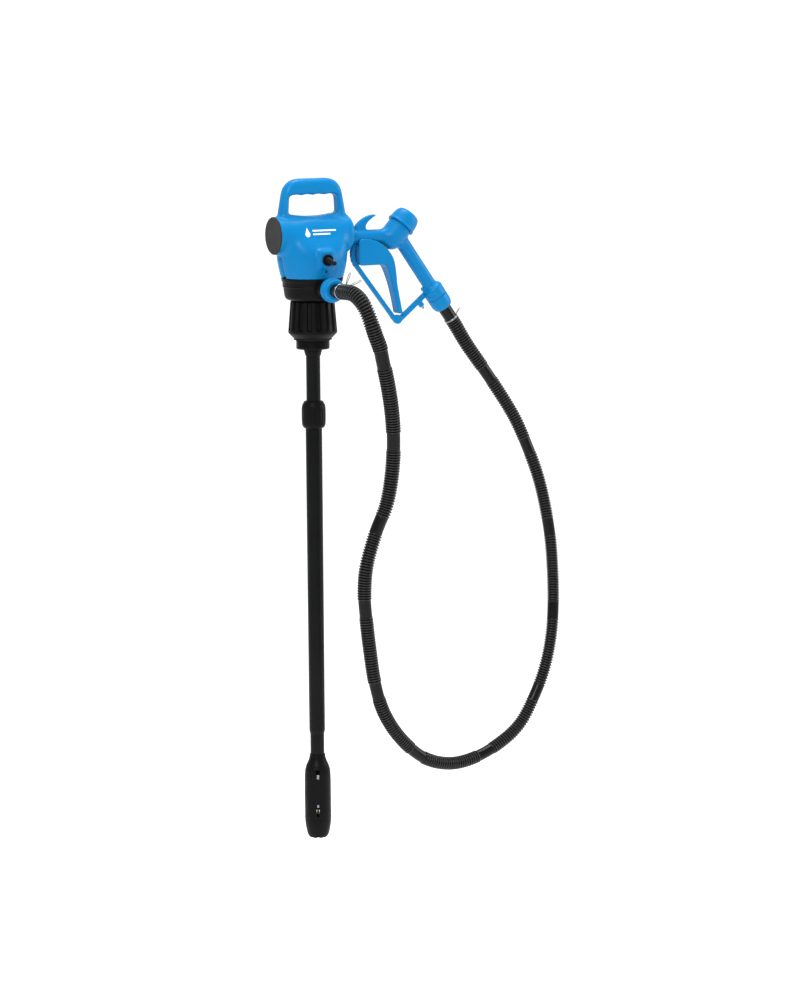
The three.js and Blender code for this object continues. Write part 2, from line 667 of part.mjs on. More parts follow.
/** The valve in the chamber: poppet, spring and the cap over them. */
function valve() {
  const axis = axisOf(VALVE);
  piece('valve_poppet', turned([
    [0, -52.3], [5.5, -52.3], [5.5, -50.5], [3, -50.5], [3, -21.6], [14.5, -21.6], [14.5, -18],
    [4, -17], [4, -9], [0, -9],
  ], SMALL, ...axis), BRASS);
  const [x, , z] = along(VALVE, -15);
  const turns = 5;
  const height = 35;
  const coil = Array.from({ length: turns * 8 + 1 }, (_, i) => {
    const angle = (2 * Math.PI * i) / 8;
    const up = along({ x, z, tilt: VALVE.tilt }, (height * i) / (turns * 8));
    const out = along({ x: 0, z: 0, tilt: VALVE.tilt - 90 }, 9 * Math.cos(angle));
    return [up[0] + out[0], 9 * Math.sin(angle), up[2] + out[2]];
  });
  piece('valve_spring', cord(coil, 1.1, 4, turns * 8), STEEL);
  piece('valve_cap', turned([
    [0, 22], [17.5, 22], [17.5, 12.6], [21.4, 12.6], [21.4, GAP], [26, GAP], [26, 4], [24.8, 5],
    [23.4, 14], [21, 22], [15, 28.4], [0, 29.5],
  ], ROUND, ...axis), BLUE);
}

/** The nut and tail that hold the hose on the end of the grip. */
function hoseEnd() {
  const axis = axisOf(GRIP);
  const seat = GRIP_NUT + 8 + GAP;
  piece('nozzle_hose_tail', turned([
    [6.5, seat], [15, seat], [15, seat + 2.6], [9, seat + 2.6], [9, GRIP_END], [6.5, GRIP_END],
  ], SMALL, ...axis), BLACK);
  piece('hose_nut', turned([
    [15.4, GRIP_NUT + GAP], [18.6, GRIP_NUT + GAP], [18.6, 140], [17.2, 145], [15.5, GRIP_END],
    [9.4, GRIP_END], [9.4, seat + 3], [15.4, seat + 3],
  ], ROUND, ...axis), BLUE);
}

function nozzle() {
  piece('nozzle_body', nozzleBody(), BLUE);
  piece('nozzle_guard', nozzleGuard(), BLUE);
  valve();
  hoseEnd();
  piece('trigger_lever', trigger(), BLUE);
  piece('trigger_pin', rod(2.5, -14.8, 14.8, 12, TRIGGER_PIVOT, [0, 1, 0]), STEEL);
  piece('hold_open_pin', rod(2.5, -5, 17, 12, ...axisOf(LATCH)), STEEL);
}

// ---------------------------------------------------------------- assembly

bungNut();
baseHousing();
headShells();
batteryCap();
battery();
holster();
powerSwitch();
outletUnion();
hoseClamps();
hose();
innerTube();
lowerTube();
foot();
nozzle();

export default pump;
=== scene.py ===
"""The looks of the drum barrel pump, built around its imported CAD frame.

Shapes are worked out in millimetres, in the CAD model's own axes (+Z up, the nozzle towards +X, the
switch and the outlet towards -Y, the origin on the tube's axis at the bung), and are written to
Blender in metres.
"""

import math

import bmesh
import bpy
import numpy as np
from mathutils import Matrix, Vector


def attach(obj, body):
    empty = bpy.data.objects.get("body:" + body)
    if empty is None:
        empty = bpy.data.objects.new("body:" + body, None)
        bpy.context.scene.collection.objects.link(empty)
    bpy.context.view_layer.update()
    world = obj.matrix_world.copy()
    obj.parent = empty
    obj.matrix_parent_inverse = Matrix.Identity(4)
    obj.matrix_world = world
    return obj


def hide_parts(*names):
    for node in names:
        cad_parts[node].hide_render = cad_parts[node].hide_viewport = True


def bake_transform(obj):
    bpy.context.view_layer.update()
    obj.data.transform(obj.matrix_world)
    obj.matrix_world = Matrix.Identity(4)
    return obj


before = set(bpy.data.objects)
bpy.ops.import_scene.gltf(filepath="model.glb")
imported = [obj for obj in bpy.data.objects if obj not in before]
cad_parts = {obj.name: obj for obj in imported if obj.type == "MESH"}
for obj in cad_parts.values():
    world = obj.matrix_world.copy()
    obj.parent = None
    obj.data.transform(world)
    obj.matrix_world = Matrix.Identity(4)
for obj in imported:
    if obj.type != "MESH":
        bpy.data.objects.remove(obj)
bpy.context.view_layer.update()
MM = 0.001

# ---------------------------------------------------------------- the dimensions it shares with the CAD

NUT_TOP = 69
BASE_TOP = 109
BARREL_R = 33
BARREL_Z = 184
BARREL_HALF = 72
SWITCH_Z = 143
SWITCH_FACE = 62.3
LED_Z = 122
OUTLET_Z = 92
OUTLET_NUT_R = 21.5
OUTLET_FACE = 94
SPOUT_Z = 176
SPOUT_R = 12
VALVE = (173, 192, 48)
CHAMBER_R = 22
GRIP = (174, 167, -55.2)
GRIP_R = 12.4
GRIP_NUT = 124
GRIP_END = 149
TRIGGER_PIVOT = (104.6, 149)
LATCH = (209, 57.5)
FOOT_SEAM = -855
PORT_ANGLE = -2.02  # of the first port around the foot
FOOT_END = -889.5

HOSE_R = 12
HOSE_ROUTE = [
    (0, -94.7, 92), (0, -115, 92), (0, -132, 92.5), (0.5, -147, 92.5), (2.5, -161, 90),
    (6, -173, 83), (10, -182, 72), (15, -187.5, 56.5), (21, -190, 38), (28.5, -189, 19),
    (37, -187, 0), (45, -183, -27), (56, -177, -63), (68, -168, -110), (77, -157, -165),
    (79, -146, -225), (73, -136, -280), (56, -127, -330), (41, -119, -392), (41, -111, -440),
    (46, -107, -485), (56, -101, -545), (67, -96, -600), (86, -91, -655), (121, -85, -706),
    (172, -79, -749), (225, -73, -766), (275, -68, -763), (330, -64, -743), (376, -60, -712),
    (412, -55, -660), (435, -51, -611), (450, -47, -555), (457, -42, -494), (458, -38, -439),
    (456, -34, -384), (447, -29, -318), (435, -25, -266), (416, -20, -212), (394, -15, -161),
    (365, -9, -112), (334, -4, -66), (302, -1, -21), (280, 0, 14.5), (266, 0, 34.7),
]

# ---------------------------------------------------------------- camera

AZIMUTH = math.radians(-27)
PITCH = math.radians(8)
ROLL = math.radians(0.46)
DISTANCE = 6.737
LEFT_OF_CENTRE = 0.1516  # where the bung sits in the view, at that distance
ABOVE_CENTRE = 0.2809


def make_camera():
    forward = Vector((
        -math.sin(AZIMUTH) * math.cos(PITCH), math.cos(AZIMUTH) * math.cos(PITCH), -math.sin(PITCH),
    ))
    level = Vector((math.cos(AZIMUTH), math.sin(AZIMUTH), 0))
    upright = level.cross(forward)
    right = level * math.cos(ROLL) - upright * math.sin(ROLL)
    up = upright * math.cos(ROLL) + level * math.sin(ROLL)
    place = right * LEFT_OF_CENTRE - up * ABOVE_CENTRE - forward * DISTANCE
    data = bpy.data.cameras.new("camera")
    data.lens = 138.6
    data.sensor_width = 36
    data.clip_end = 100
    camera = bpy.data.objects.new("camera", data)
    camera.matrix_world = Matrix((
        (right.x, up.x, -forward.x, place.x),
        (right.y, up.y, -forward.y, place.y),
        (right.z, up.z, -forward.z, place.z),
        (0, 0, 0, 1),
    ))
    bpy.context.collection.objects.link(camera)
    bpy.context.scene.camera = camera


make_camera()

# ---------------------------------------------------------------- materials


class Nodes:
    """A short way to write a node material."""

    def __init__(self, name):
        self.material = bpy.data.materials.new(name)
        self.material.use_nodes = True
        self.tree = self.material.node_tree
        self.tree.nodes.clear()
        self.shader = self.add("ShaderNodeBsdfPrincipled")
        out = self.add("ShaderNodeOutputMaterial")
        self.link(self.shader.outputs[0], out.inputs[0])
        self.place = self.add("ShaderNodeTexCoord").outputs["Object"]

    def add(self, kind, **values):
        node = self.tree.nodes.new(kind)
        for key, value in values.items():
            setattr(node, key, value)
        return node

    def link(self, a, b):
        self.tree.links.new(a, b)

    def feed(self, socket, value):
        if isinstance(value, (int, float, tuple, list)):
            socket.default_value = value
        else:
            self.link(value, socket)

    def math(self, operation, a, b=0.0):
        node = self.add("ShaderNodeMath", operation=operation)
        self.feed(node.inputs[0], a)
        self.feed(node.inputs[1], b)
        return node.outputs[0]

    def noise(self, scale, detail=3.0, rough=0.5, stretch=(1, 1, 1)):
        mapping = self.add("ShaderNodeMapping")
        mapping.inputs["Scale"].default_value = stretch
        self.link(self.place, mapping.inputs["Vector"])
        node = self.add("ShaderNodeTexNoise")
        node.inputs["Scale"].default_value = scale
        node.inputs["Detail"].default_value = detail
        node.inputs["Roughness"].default_value = rough
        self.link(mapping.outputs[0], node.inputs["Vector"])
        return node.outputs["Fac"]

    def spread(self, value, low, high, start=0.3, end=0.7):
        node = self.add("ShaderNodeMapRange")
        for socket, number in zip(node.inputs[1:5], (start, end, low, high)):
            socket.default_value = number
        self.link(value, node.inputs[0])
        return node.outputs[0]

    def mix(self, amount, a, b):
        node = self.add("ShaderNodeMix", data_type="RGBA")
        self.feed(node.inputs[0], amount)
        self.feed(node.inputs[6], a)
        self.feed(node.inputs[7], b)
        return node.outputs[2]

    def bump(self, height, distance, strength=1.0, under=None):
        node = self.add("ShaderNodeBump")
        node.inputs["Strength"].default_value = strength
        node.inputs["Distance"].default_value = distance
        self.link(height, node.inputs["Height"])
        if under:
            self.link(under, node.inputs["Normal"])
        return node.outputs[0]

    def edge(self):
        """1 on the sharp outer edges of a mesh, where plastic wears first; on the hose it paints a
        highlight on the ridge crests.
        """
        geometry = self.add("ShaderNodeNewGeometry")
        return self.spread(geometry.outputs["Pointiness"], 0, 1, 0.52, 0.62)

    def set(self, **values):
        for key, value in values.items():
            self.feed(self.shader.inputs[key.replace("_", " ")], value)


def rgb(r, g, b):
    return (r, g, b, 1.0)


def plastic(name, color, lighter, rough=(0.34, 0.46), shine=0.25, grain=0.00006, grain_scale=1400):
    """Moulded plastic: a fine spark-eroded grain, faint flow marks and paler worn edges."""
    n = Nodes(name)
    cloud, paleness = n.noise(9, 4), 0.35
    shade = n.mix(n.spread(cloud, 0, paleness), rgb(*color), rgb(*lighter))
    shade = n.mix(n.math("MULTIPLY", n.edge(), paleness), shade, rgb(*lighter))
    grain_bump = n.bump(n.noise(grain_scale, 2), grain, 0.5)
    flow = n.bump(n.noise(38, 2), 0.0003, 0.15, grain_bump)
    n.set(Base_Color=shade, Roughness=n.spread(n.noise(60, 4), *rough), Normal=flow,
          Specular_IOR_Level=shine)
    return n


BLUE_FINISH = ((0.0, 0.152, 0.385), (0.0, 0.205, 0.46), (0.30, 0.42), 0.12)


def printed_blue():
    """The same blue with a plain drop and two bars printed in white on the barrel's front."""
    n = plastic("printed_blue_plastic", *BLUE_FINISH)
    split = n.add("ShaderNodeSeparateXYZ")
    n.link(n.place, split.inputs[0])
    x, y, z = split.outputs

    def bar(left, right, low, high):
        dx = n.math("ABSOLUTE", n.math("SUBTRACT", x, (left + right) / 2 * MM))
        dz = n.math("ABSOLUTE", n.math("SUBTRACT", z, (low + high) / 2 * MM))
        across = n.math("LESS_THAN", dx, (right - left) / 2 * MM)
        return n.math("MULTIPLY", across, n.math("LESS_THAN", dz, (high - low) / 2 * MM))

    drop_x, drop_z, drop_r, drop_tip, drop_taper = -25, 187, 4.6, 11, 0.46
    dx = n.math("SUBTRACT", x, drop_x * MM)
    dz = n.math("SUBTRACT", z, drop_z * MM)
    reach = n.math("SQRT", n.math("ADD", n.math("MULTIPLY", dx, dx), n.math("MULTIPLY", dz, dz)))
    ball = n.math("LESS_THAN", reach, drop_r * MM)
    slope = n.math("MULTIPLY", n.math("SUBTRACT", (drop_z + drop_tip) * MM, z), drop_taper)
    cone = n.math("MULTIPLY", n.math("LESS_THAN", n.math("ABSOLUTE", dx), slope),
                  n.math("GREATER_THAN", dz, 1.8 * MM))
    mark = n.math("MAXIMUM", ball, cone)
    for box in ((-15, 30, 191.5, 194), (-15, 18, 185.5, 188)):
        mark = n.math("MAXIMUM", mark, bar(*box))
    mark = n.math("MULTIPLY", mark, n.math("LESS_THAN", y, 0.0))
    base = n.shader.inputs["Base Color"].links[0].from_socket
    n.set(Base_Color=n.mix(mark, base, rgb(0.78, 0.8, 0.82)))
    return n.material


def tube_plastic():
    """Drawn black tube, with faint lines along its length."""
    n = Nodes("tube_plastic")
    lines = n.noise(900, 3, 0.6, (1, 1, 0.01))
    cloud = n.noise(14, 3)
    shade = n.mix(n.spread(cloud, 0, 1), rgb(0.0022, 0.0024, 0.0025), rgb(0.004, 0.0043, 0.0045))
    n.set(Base_Color=shade, Roughness=n.spread(lines, 0.28, 0.42), Specular_IOR_Level=0.1,
          Normal=n.bump(lines, 0.00004, 0.6))
    return n.material


def rubber():
    """Matt black rubber with a fine grain."""
    n = Nodes("black_rubber")
    cloud = n.noise(40, 4)
    shade = n.mix(n.spread(cloud, 0, 1), rgb(0.004, 0.004, 0.004), rgb(0.0068, 0.0068, 0.0068))
    n.set(Base_Color=shade, Roughness=n.spread(n.noise(150, 4), 0.55, 0.75), Specular_IOR_Level=0.15,
          Normal=n.bump(n.noise(1100, 3), 0.00006, 0.6))
    return n.material


def hose_plastic():
    """Glossy black, with a painted highlight: the crests of the ridges are mixed paler than the
    valleys.
    """
    n = Nodes("hose_plastic")
    cloud = n.noise(40, 4)
    shade = n.mix(n.spread(cloud, 0, 1), rgb(0.001, 0.0011, 0.0012), rgb(0.002, 0.0021, 0.0022))
    # painted highlight: the sharp ridge crests are mixed towards a pale grey
    shade = n.mix(n.math("MULTIPLY", n.edge(), 0.9), shade, rgb(0.05, 0.051, 0.052))
    n.set(Base_Color=shade, Roughness=n.spread(n.noise(150, 4), 0.2, 0.3), Specular_IOR_Level=0.16,
          Normal=n.bump(n.noise(1100, 3), 0.00003, 0.5))
    return n.material


def metal(name, color, rough):
    """Bare metal with faint scratches."""
    n = Nodes(name)
    lines = n.noise(700, 3, 0.6)
    shade = n.mix(n.spread(lines, 0, 1), rgb(*(c * 0.85 for c in color)), rgb(*color))
    n.set(Base_Color=shade, Metallic=1.0, Roughness=n.spread(lines, rough * 0.8, rough * 1.4),
          Normal=n.bump(lines, 0.00002, 0.5))
    return n.material


def lens_material():
    n = Nodes("red_lens")
    depth = n.noise(300, 2)
    shade = n.mix(n.spread(depth, 0, 1), rgb(0.014, 0.002, 0.002), rgb(0.03, 0.003, 0.003))
    n.set(Base_Color=shade, Roughness=0.15, Coat_Weight=0.2, Specular_IOR_Level=0.3)
    return n.material


def board_material():
    n = Nodes("circuit_board")
    traces = n.spread(n.noise(260, 1), 0, 1, 0.49, 0.51)
    n.set(Base_Color=n.mix(traces, rgb(0.01, 0.09, 0.03), rgb(0.03, 0.16, 0.06)), Roughness=0.4)
    return n.material


BLUE = plastic("blue_plastic", *BLUE_FINISH).material
PRINTED = printed_blue()
BLACK = plastic("black_plastic", (0.002, 0.0022, 0.0022), (0.006, 0.006, 0.0062), (0.34, 0.5),
                shine=0.08).material
DARK_GREY = plastic("dark_grey_plastic", (0.022, 0.023, 0.0225), (0.028, 0.028, 0.028), (0.55, 0.68),
                    shine=0.15, grain=0.00012, grain_scale=900).material
TUBE = tube_plastic()
RUBBER = rubber()
HOSE = hose_plastic()
STEEL = metal("steel", (0.30, 0.31, 0.33), 0.25)
BRASS = metal("brass", (0.72, 0.5, 0.2), 0.25)
CELL = plastic("cell_wrap", (0.02, 0.14, 0.06), (0.04, 0.2, 0.09)).material
BOARD = board_material()
LENS = lens_material()

# ---------------------------------------------------------------- meshes


def new_object(name, vertices, faces, sharp=None):
    """An object from vertices in millimetres. Edges sharper than the angle stay sharp."""
    mesh = bpy.data.meshes.new(name)
    mesh.from_pydata((np.asarray(vertices, float) * MM).tolist(), [], faces)
    mesh.validate()
    mesh.polygons.foreach_set("use_smooth", [True] * len(mesh.polygons))
    if sharp:
        mesh.set_sharp_from_angle(angle=math.radians(sharp))
    thing = bpy.data.objects.new(name, mesh)
    bpy.context.collection.objects.link(thing)
    return thing


def joined(name, *things, sharp=None):
    """One object from several that share a body and a material."""
    mesh = bpy.data.meshes.new(name)
    whole = bmesh.new()
    for thing in things:
        whole.from_mesh(thing.data)
        bpy.data.objects.remove(thing)
    whole.to_mesh(mesh)
    whole.free()
    mesh.polygons.foreach_set("use_smooth", [True] * len(mesh.polygons))
    if sharp:
        mesh.set_sharp_from_angle(angle=math.radians(sharp))
    result = bpy.data.objects.new(name, mesh)
    bpy.context.collection.objects.link(result)
    return result


def baked(thing, sharp=None):
    """The object with its modifiers applied."""
    graph = bpy.context.evaluated_depsgraph_get()
    mesh = bpy.data.meshes.new_from_object(thing.evaluated_get(graph))
    thing.modifiers.clear()
    thing.data = mesh
    if sharp:
        mesh.set_sharp_from_angle(angle=math.radians(sharp))
    return thing


def cut_away(thing, *tools):
    """Cuts closed tools out of a closed object, and removes the tools."""
    for tool in tools:
        modifier = thing.modifiers.new("cut", "BOOLEAN")
        modifier.operation = "DIFFERENCE"
        modifier.solver = "EXACT"
        modifier.object = tool
    baked(thing)
    for tool in tools:
        bpy.data.objects.remove(tool)
    return thing


def rounded(profile, steps=4, closed=False):
    """The profile with its corners rounded: a third number is how far that reaches."""
    points = []
    count = len(profile)
    for i, point in enumerate(profile):
        radius = point[2] if len(point) > 2 else 0
        inner = closed or 0 < i < count - 1
        here = np.array(point[:2], float)
        if not radius or not inner:
            points.append(here)
            continue
        before = np.array(profile[i - 1][:2], float) - here
        after = np.array(profile[(i + 1) % count][:2], float) - here
        reach = min(radius, np.linalg.norm(before) * 0.49, np.linalg.norm(after) * 0.49)
        start = here + before / np.linalg.norm(before) * reach
        end = here + after / np.linalg.norm(after) * reach
        for t in np.linspace(0, 1, steps + 1):
            points.append((1 - t) ** 2 * start + 2 * t * (1 - t) * here + t * t * end)
    return np.array(points)


def basis(axis):
    """Two unit vectors across a unit axis, and the axis."""
    axis = np.array(axis, float) / np.linalg.norm(axis)
    side = np.cross((0, 0, 1), axis) if abs(axis[2]) < 0.9 else np.cross((0, 1, 0), axis)
    side /= np.linalg.norm(side)
    return side, np.cross(axis, side), axis


def turned(name, profile, at=(0, 0, 0), axis=(0, 0, 1), segments=96, closed=False, sharp=None,
           wave=None):
    """A profile of [radius, height(, rounding)] turned about an axis.

    It is closed on itself, or starts and ends on the axis. wave(angles, radius, height) gives the
    radius around the axis instead of a constant one.
    """
    line = rounded(profile, closed=closed)
    side, across, along = basis(axis)
    angles = np.arange(segments) * 2 * math.pi / segments
    vertices = []
    for radius, height in line:
        radii = wave(angles, radius, height) if wave else np.full(segments, radius)
        ring = np.outer(radii * np.cos(angles), side) + np.outer(radii * np.sin(angles), across)
        vertices.append(np.array(at) + ring + height * along)
    vertices = np.concatenate(vertices)
    rows = len(line)
    faces = []
    for i in range(rows if closed else rows - 1):
        a, b = i * segments, (i + 1) % rows * segments
        for k in range(segments):
            m = (k + 1) % segments
            faces.append((a + k, a + m, b + m, b + k))
    thing = new_object(name, vertices, faces)
    tidy = bmesh.new()
    tidy.from_mesh(thing.data)
    bmesh.ops.remove_doubles(tidy, verts=tidy.verts, dist=1e-7)
    bmesh.ops.recalc_face_normals(tidy, faces=tidy.faces)
    tidy.to_mesh(thing.data)
    tidy.free()
    if sharp:
        thing.data.set_sharp_from_angle(angle=math.radians(sharp))
    return thing


def swept(name, line, radii, segments=12, loop=False):
    """A round tube along a fine line of points, with its own radius at each."""
    line = np.asarray(line, float)
    radii = np.broadcast_to(np.asarray(radii, float), len(line))
    if loop:
        ahead = np.roll(line, -1, 0) - np.roll(line, 1, 0)
    else:
        ahead = np.gradient(line, axis=0)
    ahead /= np.linalg.norm(ahead, axis=1)[:, None]
    side, _, _ = basis(ahead[0])
    angles = np.arange(segments) * 2 * math.pi / segments
    vertices = []
    for place, way, radius in zip(line, ahead, radii):
        side = side - way * side.dot(way)
        side /= np.linalg.norm(side)
        up = np.cross(way, side)
        ring = np.outer(np.cos(angles), side) + np.outer(np.sin(angles), up)
        vertices.append(place + radius * ring)
    rows = len(line)
    faces = []
    for i in range(rows if loop else rows - 1):
        a, b = i * segments, (i + 1) % rows * segments
        for k in range(segments):
            m = (k + 1) % segments
            faces.append((a + k, a + m, b + m, b + k))
    if not loop:
        faces.append(tuple(range(segments))[::-1])
        faces.append(tuple(range((rows - 1) * segments, rows * segments)))
    return new_object(name, np.concatenate(vertices), faces)


def curve_through(points, spacing):
    """Points every spacing millimetres along a centripetal Catmull-Rom curve."""
    p = np.asarray(points, float)
    p = np.vstack([2 * p[0] - p[1], p, 2 * p[-1] - p[-2]])
    fine = []
    for i in range(1, len(p) - 2):
        knots = [0.0]
        for k in range(3):
            knots.append(knots[-1] + np.linalg.norm(p[i + k] - p[i + k - 1]) ** 0.5)
        t0, t1, t2, t3 = knots
        t = np.linspace(t1, t2, 60, endpoint=i == len(p) - 3)[:, None]
        a1 = (t1 - t) / (t1 - t0) * p[i - 1] + (t - t0) / (t1 - t0) * p[i]
        a2 = (t2 - t) / (t2 - t1) * p[i] + (t - t1) / (t2 - t1) * p[i + 1]
        a3 = (t3 - t) / (t3 - t2) * p[i + 1] + (t - t2) / (t3 - t2) * p[i + 2]
        b1 = (t2 - t) / (t2 - t0) * a1 + (t - t0) / (t2 - t0) * a2
        b2 = (t3 - t) / (t3 - t1) * a2 + (t - t1) / (t3 - t1) * a3
        fine.append((t2 - t) / (t2 - t1) * b1 + (t - t1) / (t2 - t1) * b2)
    fine = np.vstack(fine)
    reach = np.r_[0, np.cumsum(np.linalg.norm(np.diff(fine, axis=0), axis=1))]
    marks = np.linspace(0, reach[-1], int(round(reach[-1] / spacing)) + 1)
    return np.stack([np.interp(marks, reach, fine[:, k]) for k in range(3)], axis=1), marks


def finish_piece(thing, body, material, slot, *nodes):
    """Gives a piece its material and its body, and hides the CAD nodes that it stands for; slot is not
    used.
    """
    thing.data.materials.clear()
    thing.data.materials.append(material)
    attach(thing, body)
    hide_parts(*nodes)


def on_line(line, distance, across=0.0):
    """A point on an axis (x, z, tilt) in the plane Y = 0, and off it by across."""
    x, z, tilt = line
    a = math.radians(tilt)
    return np.array((x + distance * math.cos(a) - across * math.sin(a), 0,
                     z + distance * math.sin(a) + across * math.cos(a)))


def way_of(line):
    """The direction of such an axis."""
    return tuple(on_line(line, 1) - on_line(line, 0))


# ---------------------------------------------------------------- hose

RIDGE_EVERY = 4.8
RIDGE_TOP = HOSE_R + 0.2
RIDGE_FOOT = HOSE_R - 2.5
STEPS_PER_RIDGE = 7
CUFF_R = HOSE_R - 1
CUFF_FIRST = 196  # the middle of the first smooth cuff, along the hose
CUFF_EVERY = 153.4
CUFF_LENGTH = 35
CUFF_SHOULDER = 2.5
END_CUFF = 27
LAST_RIDGES = 90  # no cuff in this last stretch
GIRTH_AT = [0, 0.1, 0.4, 0.6, 0.9, 1]  # shares of the length
GIRTH = [1.14, 1.1, 1, 0.93, 0.96, 1.08]


def make_hose():
    """The corrugated hose with its smooth cuffs, bending between the head and the nozzle."""
    end = on_line(GRIP, GRIP_END + 0.6)
    line, marks = curve_through([*HOSE_ROUTE, tuple(end)], RIDGE_EVERY / STEPS_PER_RIDGE)
    length = marks[-1]
    ripple = 0.5 + 0.5 * np.cos(2 * math.pi * marks / RIDGE_EVERY)
    radii = RIDGE_FOOT + (RIDGE_TOP - RIDGE_FOOT) * np.clip(ripple * 1.5 - 0.1, 0, 1) ** 0.8
    inside_cuff = np.maximum(END_CUFF - marks, marks - (length - END_CUFF))
    for centre in np.arange(CUFF_FIRST, length - LAST_RIDGES, CUFF_EVERY):
        inside_cuff = np.maximum(inside_cuff, CUFF_LENGTH / 2 - np.abs(marks - centre))
    smooth = np.clip(inside_cuff / CUFF_SHOULDER, 0, 1)
    radii = radii * (1 - smooth) + CUFF_R * smooth
    radii = radii * np.interp(marks / length, GIRTH_AT, GIRTH)
    thing = swept("hose", line, radii, 24)
    thing.data.materials.append(HOSE)
    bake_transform(thing)
    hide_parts("hose")


make_hose()

# ---------------------------------------------------------------- floor, backdrop and light


def make_stage():
    """A white floor that sweeps up into a white backdrop, square to the camera."""
    n = Nodes("studio_white")
    n.set(Base_Color=rgb(0.86, 0.86, 0.86), Roughness=0.9, Emission_Color=rgb(1, 1, 1),
          Emission_Strength=0.4)
    depth, width, floor_z, wall, bend, bend_steps = 14.0, 30.0, -1.35, 12.0, 4.0, 12
    steps = [(-depth, floor_z)]
    for i in range(bend_steps + 1):
        a = math.pi / 2 * i / bend_steps
        steps.append((depth - bend + bend * math.sin(a), floor_z + bend * (1 - math.cos(a))))
    steps.append((depth, floor_z + wall))
    turn = AZIMUTH
    vertices = []
    for y, z in steps:
        for x in (-width / 2, width / 2):
            vertices.append(((x * math.cos(turn) - y * math.sin(turn)) / MM,
                             (x * math.sin(turn) + y * math.cos(turn)) / MM, z / MM))
    faces = [(2 * i, 2 * i + 1, 2 * i + 3, 2 * i + 2) for i in range(len(steps) - 1)]
    floor = new_object("studio_floor", vertices, faces)
    floor.data.materials.append(n.material)


def area_light(name, place, target, size, power):
    data = bpy.data.lights.new(name, "AREA")
    data.shape = "DISK"
    data.size = size
    data.energy = power
    thing = bpy.data.objects.new(name, data)
    thing.location = place
    thing.rotation_euler = (Vector(target) - Vector(place)).to_track_quat("-Z", "Y").to_euler()
    bpy.context.collection.objects.link(thing)


def make_light():
    world = bpy.data.worlds.new("studio")
    world.use_nodes = True
    background = world.node_tree.nodes["Background"]
    background.inputs[0].default_value = (1, 1, 1, 1)
    background.inputs[1].default_value = 0.7
    bpy.context.scene.world = world
    area_light("key", (-2.6, -3.0, 2.6), (0.05, 0, 0), 1.8, 130)
    area_light("top", (0.3, 0.2, 3.2), (0.1, 0, 0), 2.0, 110)
    area_light("side", (3.2, -1.2, 0.6), (0.1, 0, -0.2), 1.6, 45)


make_stage()
make_light()
bpy.context.scene.view_settings.view_transform = "Standard"

# ---------------------------------------------------------------- smooth solids
# A solid is a signed distance in millimetres, worked out on arrays of x, y and z.


def union(a, b, blend=0.0):
    """Both solids, melted together over the blend."""
    if not blend:
        return np.minimum(a, b)
    h = np.clip(0.5 + 0.5 * (b - a) / blend, 0, 1)
    return b + (a - b) * h - blend * h * (1 - h)


def overlap(a, b, blend=0.0):
    """What two solids share."""
    return -union(-a, -b, blend)


def without(a, b, blend=0.0):
    """The first solid less the second."""
    return -union(-a, b, blend)


def rounded_pair(a, b, edge):
    """Two distances across each other, meeting in an edge of the given radius."""
    a, b = a + edge, b + edge
    return np.hypot(np.maximum(a, 0), np.maximum(b, 0)) + np.minimum(np.maximum(a, b), 0) - edge


def from_axis(p, at, axis):
    """The distance from an axis, and the height along it."""
    dx, dy, dz = (c - a for c, a in zip(p, at))
    ax, ay, az = np.array(axis) / np.linalg.norm(axis)
    height = dx * ax + dy * ay + dz * az
    return np.sqrt(np.maximum(dx * dx + dy * dy + dz * dz - height * height, 0)), height


def round_rod(p, at, axis, radius, low, high, edge=1.0):
    """A rod about an axis, between two heights on it."""
    off, height = from_axis(p, at, axis)
    return rounded_pair(off - radius, np.abs(height - (low + high) / 2) - (high - low) / 2, edge)


def round_box(p, xs, ys, zs, edge=1.0):
    """A box given by its two ends on each axis."""
    gaps = [np.abs(c - sum(s) / 2) - (s[1] - s[0]) / 2 + edge for c, s in zip(p, (xs, ys, zs))]
    out = sum(np.maximum(g, 0) ** 2 for g in gaps)
    return np.sqrt(out) + np.minimum(np.maximum(np.maximum(*gaps[:2]), gaps[2]), 0) - edge


def polygon(u, v, points):
    """The distance in a plane from a closed outline."""
    points = np.asarray(points, float)
    nearest, inside = np.inf, np.zeros(np.broadcast(u, v).shape, bool)
    for (ax, ay), (bx, by) in zip(points, np.roll(points, -1, 0)):
        ex, ey = bx - ax, by - ay
        wx, wy = u - ax, v - ay
        t = np.clip((wx * ex + wy * ey) / (ex * ex + ey * ey + 1e-12), 0, 1)
        nearest = np.minimum(nearest, (wx - ex * t) ** 2 + (wy - ey * t) ** 2)
        if ay != by:
            inside = inside ^ (((ay > v) != (by > v)) & (u < ex * (v - ay) / ey + ax))
    return np.sqrt(nearest) * np.where(inside, -1, 1)


def plate(p, outline, half, edge):
    """An X-Z outline made thick across Y, with rounded edges."""
    return rounded_pair(polygon(p[0], p[2], outline), np.abs(p[1]) - half, edge)


def strip(p, points, widths, half, edge):
    """A flat bar of changing width along a line of X-Z points."""
    nearest = np.inf
    ends = list(zip(points, widths))
    for ((ax, az), aw), ((bx, bz), bw) in zip(ends, ends[1:]):
        ex, ez = bx - ax, bz - az
        t = np.clip(((p[0] - ax) * ex + (p[2] - az) * ez) / (ex * ex + ez * ez), 0, 1)
        away = np.hypot(p[0] - ax - ex * t, p[2] - az - ez * t) - (aw + (bw - aw) * t) / 2
        nearest = union(nearest, away, 2.0) if np.ndim(nearest) else away
    return rounded_pair(nearest, np.abs(p[1]) - half, edge)


